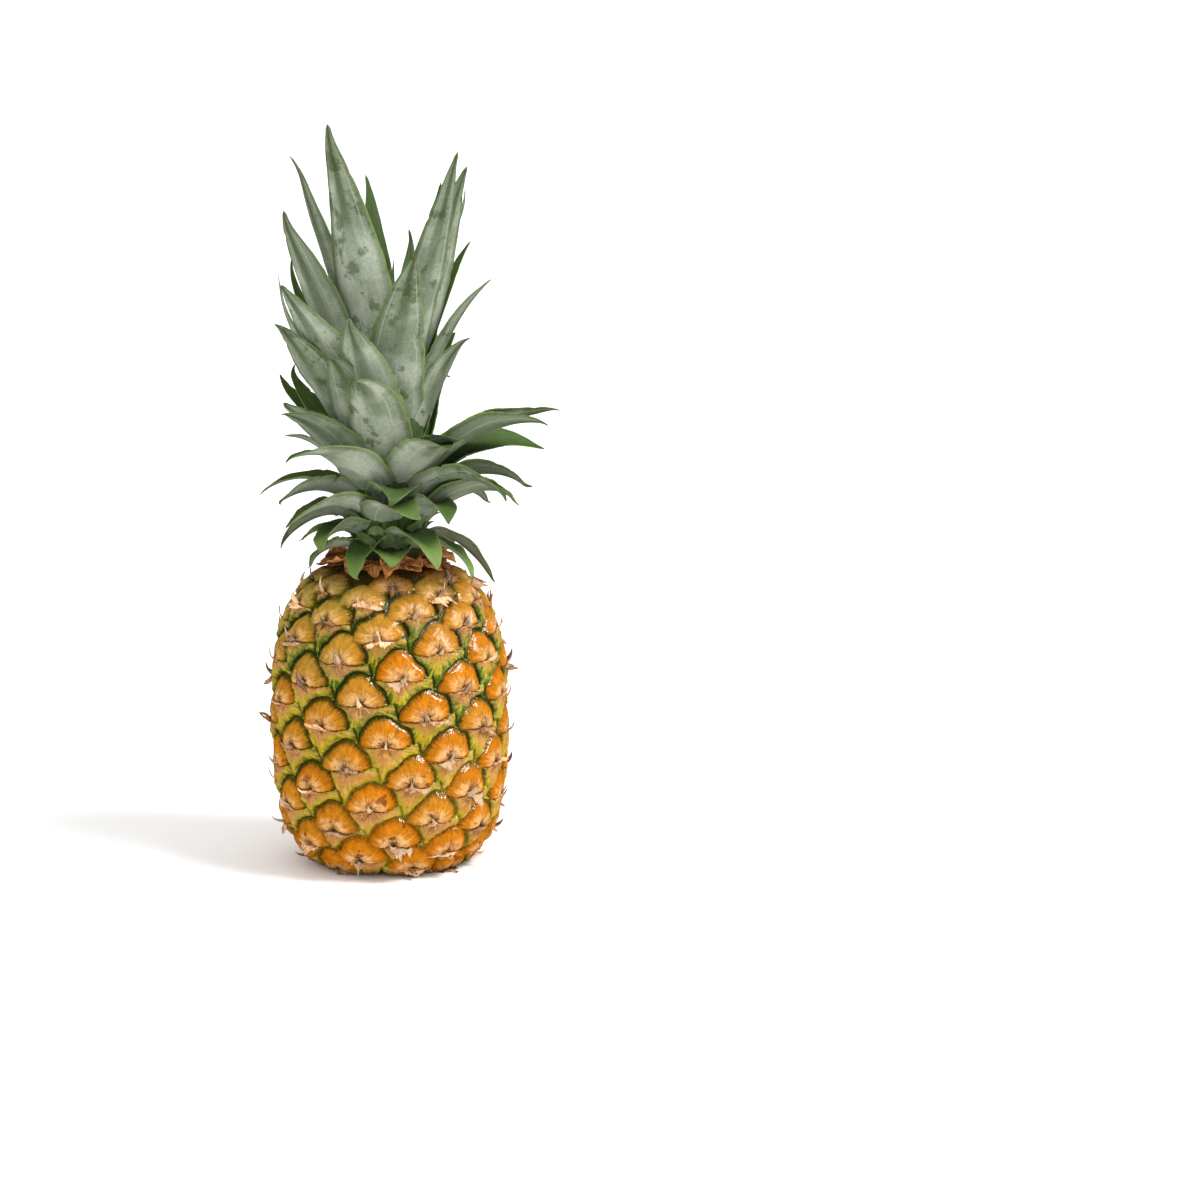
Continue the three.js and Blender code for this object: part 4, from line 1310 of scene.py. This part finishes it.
def paper_material(name, pale, dark, ends):
    """Dry papery skin: pale, browned in streaks, and green at its ends where it still lives."""
    recipe = Recipe(name)
    across, share, number = recipe.read("blade")
    position = recipe.position()
    fibres = recipe.noise(recipe.join(across * 7, share, number), 1.6, 4)
    blotch = recipe.noise(position, 260, 4)
    aged = fibres + recipe.ramp(recipe.random(number, 4), 0.0, 1.0, -0.16, 0.12)
    made = recipe.mix(recipe.ramp(aged, 0.44, 0.66), pale, dark)
    made = recipe.mix(recipe.ramp(blotch, 0.53, 0.68, 0.0, 0.8), made, dark)
    tone = recipe.ramp(recipe.random(number, 9), 0.0, 1.0, 0.58, 1.28)
    made = recipe.shade(made, tone)
    if ends is not None:
        made = recipe.mix(recipe.ramp(abs(across), 0.55, 0.95), made, ends)
    normal = recipe.bump(fibres, 0.0005, 0.7)
    normal = recipe.bump(blotch, 0.0008, 0.5, normal)
    return recipe.finish(Base_Color=made, Roughness=0.6, Normal=normal, Specular_IOR_Level=0.3)


def stalk_material(settings):
    """The trimmed underside: a fibrous cut stalk in dry brown skin."""
    recipe = Recipe("cut stalk")
    position = recipe.position()
    x, y, _ = recipe.split(position)
    radius = recipe.root(x**2 + y**2)
    fibres = recipe.noise(position, 1100, 4)
    rings = recipe.noise(recipe.join(radius * 600, 0.0, 0.0), 1, 2)
    cut = recipe.mix(recipe.ramp(fibres, 0.35, 0.65), CUT_PALE, CUT_DARK)
    skin = recipe.mix(recipe.ramp(fibres, 0.35, 0.65), settings.bract_tan, settings.brown)
    made = recipe.mix(recipe.ramp(radius, 0.0128, 0.0134), cut, skin)
    made = recipe.mix(recipe.ramp(rings, 0.5, 0.75, 0.0, 0.5), made, settings.brown)
    normal = recipe.bump(fibres, 0.0006, 0.8)
    return recipe.finish(Base_Color=made, Roughness=0.8, Normal=normal, Specular_IOR_Level=0.3)


def leaf_back(recipe, settings, across, share, leaf, position):
    """Grey-green wax with fine lines, faint folds, rubbed patches and a pale base, with painted shade
    on the right-hand leaves and along the middle toward the tips.
    """
    side = abs(across)
    x, _, z = recipe.split(position)
    fine = recipe.join(across * 22, share * 2.0, leaf)
    streaks = recipe.noise(fine, 1.8, 5, 0.65)
    mottle = recipe.noise(position, 60, 5, 0.55)
    dull = recipe.mix(0.55, settings.bloom, settings.rubbed)
    # How far the back turns dull green: mottle and wear rising toward the tips, more on the low leaves
    # and at the top of the crown, and painted shade on the right-hand leaves.
    worn = mottle + recipe.ramp(share, 0.35, 0.95, 0.0, 0.14)
    worn += recipe.ramp(recipe.random(leaf, 2), 0.0, 1.0, -0.09, 0.09)
    worn += recipe.ramp(leaf, 34, 4, 0.0, 0.07)
    worn += recipe.ramp(z, 0.24, 0.32, 0.0, 0.08)
    # Painted shade: the right-hand leaves low in the crown turn darker green.
    worn += recipe.ramp(x, 0.012, 0.045, 0.0, 0.6) * recipe.ramp(z, 0.25, 0.2)
    made = recipe.mix(recipe.ramp(worn, 0.42, 0.7), settings.bloom, dull)
    made = recipe.mix(recipe.ramp(streaks, 0.45, 0.72, 0.0, 0.24), made, settings.rubbed)
    # A darker band along the middle toward the tip: rubbed wax and painted shade along the keel.
    middle = recipe.ramp(side + mottle * 0.5, 0.62, 0.36)
    middle *= recipe.ramp(share, 0.35, 0.9, 0.0, 0.75)
    made = recipe.mix(middle, made, settings.rubbed)
    made = recipe.mix(recipe.ramp(side, 0.7, 0.93, 0.0, 0.55), made, settings.rubbed)
    made = recipe.mix(recipe.ramp(share, 0.84, 0.98, 0.0, 0.5), made, settings.rubbed)
    patch = recipe.noise(position, 90, 7, 0.65)
    patch += recipe.ramp(share, 0.1, 0.9, -0.03, 0.04)
    patch += recipe.ramp(recipe.random(leaf, 8), 0, 1, -0.12, 0.03)
    made = recipe.mix(recipe.ramp(patch, 0.58, 0.64, 0.0, 0.62), made, settings.rubbed)
    fold = side - recipe.ramp(recipe.random(leaf, 6), 0, 1, 0.3, 0.6)
    fold -= share * 0.12
    line = recipe.ramp(abs(fold), 0.04, 0.005, 0.0, 0.6)
    made = recipe.mix(line, made, settings.bloom)
    speckle = recipe.ramp(recipe.noise(position, 900, 3), 0.35, 0.65, 0.9, 1.08)
    made = recipe.shade(made, speckle)
    made = recipe.mix(recipe.ramp(share, 0.22, 0.04, 0.0, 0.85), made, settings.base)
    made = recipe.mix(recipe.ramp(leaf, 94, 98, 0.0, 0.65), made, settings.base)
    return made, streaks


def leaf_material(settings):
    """Powdery grey-green backs, darker glossy inner faces, thin dark margins."""
    recipe = Recipe("pineapple leaf")
    across, share, leaf = recipe.read("blade")
    inside = recipe.number("inside")
    position = recipe.position()
    back, streaks = leaf_back(recipe, settings, across, share, leaf, position)
    veins = recipe.noise(recipe.join(across * 26, share, leaf), 2.5, 2)
    face = recipe.mix(recipe.ramp(veins, 0.35, 0.7), settings.inner, settings.inner_dark)
    # Low leaves' inner faces turn lighter toward the tips: paler green and a painted sheen.
    bright = recipe.ramp(leaf, 17, 9, 0.15, 1.0)
    bright *= recipe.ramp(share, 0.45, 0.8, 0.0, 0.85)
    face = recipe.mix(bright, face, settings.margin)
    made = recipe.mix(inside, back, face)
    side = abs(across)
    made = recipe.mix(recipe.ramp(side, 0.9, 0.97, 0.0, 0.75), made, settings.margin)
    wear = recipe.noise(recipe.join(share * 30, leaf, across), 1.0, 3)
    worn = recipe.ramp(side, 0.93, 0.98) * recipe.ramp(wear, 0.52, 0.62, 0.0, 0.8)
    made = recipe.mix(worn * recipe.ramp(share, 0.2, 0.8), made, settings.dry)
    own_tip = recipe.random(leaf, 3) * 0.05
    tip = share + own_tip + streaks * 0.04
    made = recipe.mix(recipe.ramp(tip, 1.02, 1.05, 0.0, 0.9), made, settings.dry)
    rough = recipe.ramp(inside, 0.0, 1.0, 0.36, 0.26)
    rough += streaks * 0.18
    normal = recipe.bump(veins, 0.0005, 0.5)
    normal = recipe.bump(recipe.noise(position, 700, 3), 0.0003, 0.4, normal)
    return recipe.finish(Base_Color=made, Roughness=rough, Normal=normal, Specular_IOR_Level=0.35)


def stem_material(settings):
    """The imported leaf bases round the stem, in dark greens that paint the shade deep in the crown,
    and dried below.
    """
    recipe = Recipe("shaded leaf bases")
    position = recipe.position()
    x, y, z = recipe.split(position)
    turn = recipe.turn(y, x)
    along_fibres = recipe.join(turn * 14, z * 40, 0.0)
    fibres = recipe.noise(along_fibres, 2, 4)
    # Dark inner greens: painted shade over the leaf bases deep in the crown.
    made = recipe.mix(recipe.ramp(fibres, 0.35, 0.65), settings.inner, settings.inner_dark)
    made = recipe.mix(recipe.ramp(z, 0.146, 0.138, 0.0, 0.9), made, settings.dry)
    normal = recipe.bump(fibres, 0.0008, 0.7)
    return recipe.finish(Base_Color=made, Roughness=0.6, Normal=normal, Specular_IOR_Level=0.3)


# ---------------------------------------------------------------- operators


def open_eyes():
    """The eyes far enough from both ends to have an open lip."""
    return [eye for eye in range(EYE_COUNT) if EYE_FADE < eye_home(eye)[1] < SKIN_LENGTH - EYE_FADE]


class PINEAPPLE_OT_rind(bpy.types.Operator):
    """Grow the skin with all its eyes"""

    bl_idname = "pineapple.rind"
    bl_label = "Grow Rind"

    def execute(self, context):
        settings = context.scene.pineapple_rind
        relief = settings.relief / MM
        steps, faces, corners = rind_net(settings.squares)
        found = skin_fields(steps[:, 0], steps[:, 1], relief)
        angle, distance = net_point(steps[:, 0], steps[:, 1])
        flat = (distance < 0) | (distance > SKIN_LENGTH)
        points = over_skin(angle, distance, np.where(flat, 0, skin_height(found)))
        numbers = {
            "eye_at": ("CORNER", squares_from_their_eye(corners, relief)),
            "rim": ("POINT", found["rim"]),
            "seam": ("POINT", found["seam"]),
        }
        new_piece("rind", points, faces.tolist(), rind_material(settings), numbers, "fruit")
        return {"FINISHED"}


class PINEAPPLE_OT_lips(bpy.types.Operator):
    """Raise the thin dried edge under every lip"""

    bl_idname = "pineapple.lips"
    bl_label = "Raise Lips"

    def execute(self, context):
        settings = context.scene.pineapple_rind
        heap = Heap()
        for eye in open_eyes():
            add_lip(heap, eye, settings.lip_ridge / MM, settings.relief / MM)
        finish = paper_material("dried lip", settings.bract_tan, settings.dry_pink, settings.bract_wing)
        heap.piece("lip_edges", finish, "fruit", "rind")
        return {"FINISHED"}


class PINEAPPLE_OT_paper_tips(bpy.types.Operator):
    """Stand a curled papery tip over every lip and tear a few sheets of dry skin loose"""

    bl_idname = "pineapple.paper_tips"
    bl_label = "Add Papery Tips"

    def execute(self, context):
        settings = context.scene.pineapple_rind
        paper, relief = settings.paper / MM, settings.relief / MM
        tips, flaps = Heap(), Heap()
        for eye in open_eyes():
            add_paper_tip(tips, eye, paper, relief)
            more = FOOT_TORN_MORE if eye < FOOT_EYES else 0
            if chance(eye, 50) < settings.torn_share + more:
                add_flap(flaps, eye, paper, relief)
        tip_finish = paper_material("papery tip", settings.paper_colour, settings.brown, None)
        tips.piece("papery_tips", tip_finish, "fruit", "rind")
        skin_finish = paper_material("torn skin", settings.paper_colour, settings.dry_pink, None)
        flaps.piece("torn_skin", skin_finish, "fruit", "rind")
        return {"FINISHED"}


class PINEAPPLE_OT_stalk_end(bpy.types.Operator):
    """Cut the stalk off in the underside"""

    bl_idname = "pineapple.stalk_end"
    bl_label = "Cut Stalk"

    def execute(self, context):
        outer = STALK_RADIUS + GROOVE_WIDTH
        outline = [
            (0.05, 0), (4, 0), (8, 0), (STALK_RADIUS, 0), (STALK_RADIUS + 0.4, GROOVE_DEPTH),
            (outer - 0.6, GROOVE_DEPTH), (outer, 0), (19, 0), (BASE_RADIUS - NET_MARGIN + 1, 0),
        ]
        points, faces = turned(outline, 72)
        finish = stalk_material(context.scene.pineapple_rind)
        new_piece("stalk_end", points, faces[:, ::-1].tolist(), finish, {}, "fruit")
        return {"FINISHED"}


def ring_shape():
    """Points and faces of the ring that the collar's scales grow from."""
    low = FRUIT_HEIGHT + GAP
    top = low + COLLAR_HEIGHT
    outline = [
        (COLLAR_INNER, top), (COLLAR_OUTER - 1, top), (COLLAR_OUTER, top - 1),
        (COLLAR_OUTER, low), (COLLAR_INNER, low), (COLLAR_INNER, top),
    ]
    points, faces = turned(outline, 96, 0.012)
    return points, faces[:, ::-1].tolist()


class PINEAPPLE_OT_collar(bpy.types.Operator):
    """Lay the dry scales round the neck"""

    bl_idname = "pineapple.collar"
    bl_label = "Lay Collar"

    def execute(self, context):
        settings = context.scene.pineapple_collar
        finish = paper_material("dry scale", settings.straw, settings.rust, None)
        thickness = settings.thickness / MM
        large, small, withered = Heap(), Heap(), Heap()
        for number in range(SCALE_COUNT):
            add_blade(large, collar_shape(number, thickness), number, *SCALE_CUTS)
        for number in range(settings.extra_scales):
            shape = small_scale_shape(number, thickness)
            add_blade(small, shape, number + FIRST_SMALL_SCALE, *SMALL_SCALE_CUTS)
        for number in range(settings.withered):
            shape = withered_shape(number, thickness)
            add_blade(withered, shape, number + FIRST_WITHERED, *WITHERED_CUTS)
        large.piece("collar_scales", finish, "dry_collar", "dry_scales")
        small.piece("collar_small_scales", finish, "dry_collar", "dry_scales")
        withered.piece("withered_leaves", finish, "dry_collar", "dry_scales")
        points, faces = ring_shape()
        blade = np.stack([np.arctan2(points[:, 1], points[:, 0]), points[:, 2], points[:, 0]], axis=1)
        numbers = {"blade": ("POINT", blade)}
        new_piece("collar_ring", points, faces, finish, numbers, "dry_collar")
        return {"FINISHED"}


class PINEAPPLE_OT_crown(bpy.types.Operator):
    """Grow the stem's packed bases, its small bracts and all the leaves"""

    bl_idname = "pineapple.crown"
    bl_label = "Grow Crown"

    def execute(self, context):
        settings = context.scene.pineapple_crown
        finish = leaf_material(settings)
        for number in range(LEAF_COUNT):
            if number in BURIED:
                continue
            heap = Heap()
            cuts = settings.stations, LEAF_CUTS_ACROSS
            add_blade(heap, leaf_shape(number, settings), number, *cuts)
            heap.piece(f"leaf_{number + 1:02d}", finish, "crown", "leaves")
        heart, bracts = Heap(), Heap()
        for number in range(HEART_COUNT):
            add_blade(heart, heart_shape(number, settings), number + LEAF_COUNT, *HEART_CUTS)
        heart.piece("heart_leaves", finish, "crown", "leaves")
        for number in range(BRACT_COUNT):
            add_blade(bracts, basal_shape(number, settings), number + FIRST_BRACT, *BRACT_CUTS)
        bracts.piece("basal_bracts", finish, "crown", "leaves")
        heights = np.linspace(STEM_OUTLINE[0][1], STEM_OUTLINE[-1][1], STEM_STEPS)
        points, faces = turned([(stem_radius(z), z) for z in heights], 96, 0.02)
        new_piece("leaf_bases", points, faces.tolist(), stem_material(settings), {}, "crown")
        return {"FINISHED"}


def set_up(name, data, at, aim):
    """A light or camera that looks from one point to another."""
    thing = bpy.data.objects.new(name, data)
    thing.location = at
    towards = np.subtract(aim, at)
    pitch = math.acos(-towards[2] / np.linalg.norm(towards))
    thing.rotation_euler = (pitch, 0, math.atan2(-towards[0], towards[1]))
    bpy.context.scene.collection.objects.link(thing)
    return thing


def lay_floor(scene, paint):
    """A wide matt floor that the wet rims don't mirror."""
    mesh = bpy.data.meshes.new("floor")
    corners = [(x * FLOOR_REACH, y * FLOOR_REACH, 0) for x, y in ((-1, -1), (1, -1), (1, 1), (-1, 1))]
    mesh.from_pydata(corners, [], [(0, 1, 2, 3)])
    recipe = Recipe("white floor")
    mesh.materials.append(recipe.finish(Base_Color=paint, Roughness=0.9, Specular_IOR_Level=0.1))
    floor = bpy.data.objects.new("floor", mesh)
    scene.collection.objects.link(floor)
    floor.visible_glossy = False


def surround(scene, power):
    """Even white light from all sides, which the wet rims don't mirror either."""
    world = bpy.data.worlds.new("white surroundings")
    world.use_nodes = True
    inputs = world.node_tree.nodes["Background"].inputs
    inputs[0].default_value = (1, 1, 1, 1)
    inputs[1].default_value = power
    scene.world = world
    world.cycles_visibility.glossy = False


def shine(name, power, spread, origin):
    """A soft light from far away in one direction."""
    light = bpy.data.lights.new(name, "SUN")
    light.energy = power
    light.angle = math.radians(spread)
    return set_up(name, light, origin, (0, 0, 0))


class PINEAPPLE_OT_stage(bpy.types.Operator):
    """Set the white floor, the soft lights and the camera"""

    bl_idname = "pineapple.stage"
    bl_label = "Set Stage"

    def execute(self, context):
        scene = context.scene
        settings = scene.pineapple_stage
        lay_floor(scene, settings.floor)
        surround(scene, settings.sky)
        shine("key", settings.key_strength, KEY_SPREAD, KEY_FROM)
        glint = shine("glint", settings.glint_strength, GLINT_SPREAD, GLINT_FROM)
        glint.visible_diffuse = False
        lens = bpy.data.cameras.new("camera")
        lens.lens = CAMERA_LENS
        lens.sensor_width = SENSOR_WIDTH
        scene.camera = set_up("camera", lens, CAMERA_AT, CAMERA_AIM)
        scene.view_settings.view_transform = "Standard"
        return {"FINISHED"}


class PINEAPPLE_PT_sidebar(bpy.types.Panel):
    """Everything that makes up the pineapple"""

    bl_idname = "PINEAPPLE_PT_sidebar"
    bl_label = "Pineapple"
    bl_space_type = "VIEW_3D"
    bl_region_type = "UI"
    bl_category = "Pineapple"

    def draw(self, context):
        for group in GROUPS:
            box = self.layout.box()
            held = getattr(context.scene, group)
            for key in held.__annotations__:
                box.prop(held, key)
        for operator in OPERATORS:
            self.layout.operator(operator.bl_idname)


GROUPS = {
    "pineapple_rind": RindSettings,
    "pineapple_collar": CollarSettings,
    "pineapple_crown": CrownSettings,
    "pineapple_stage": StageSettings,
}
OPERATORS = (
    PINEAPPLE_OT_rind,
    PINEAPPLE_OT_lips,
    PINEAPPLE_OT_paper_tips,
    PINEAPPLE_OT_stalk_end,
    PINEAPPLE_OT_collar,
    PINEAPPLE_OT_crown,
    PINEAPPLE_OT_stage,
)


def register():
    for made in (*GROUPS.values(), *OPERATORS, PINEAPPLE_PT_sidebar):
        bpy.utils.register_class(made)
    for name, group in GROUPS.items():
        setattr(bpy.types.Scene, name, bpy.props.PointerProperty(type=group))


def unregister():
    for name in GROUPS:
        delattr(bpy.types.Scene, name)
    for made in reversed((*GROUPS.values(), *OPERATORS, PINEAPPLE_PT_sidebar)):
        bpy.utils.unregister_class(made)


def main():
    """Makes every piece in order."""
    register()
    bpy.ops.pineapple.rind()
    bpy.ops.pineapple.lips()
    bpy.ops.pineapple.paper_tips()
    bpy.ops.pineapple.stalk_end()
    bpy.ops.pineapple.collar()
    bpy.ops.pineapple.crown()
    bpy.ops.pineapple.stage()


if __name__ == "__main__":
    main()
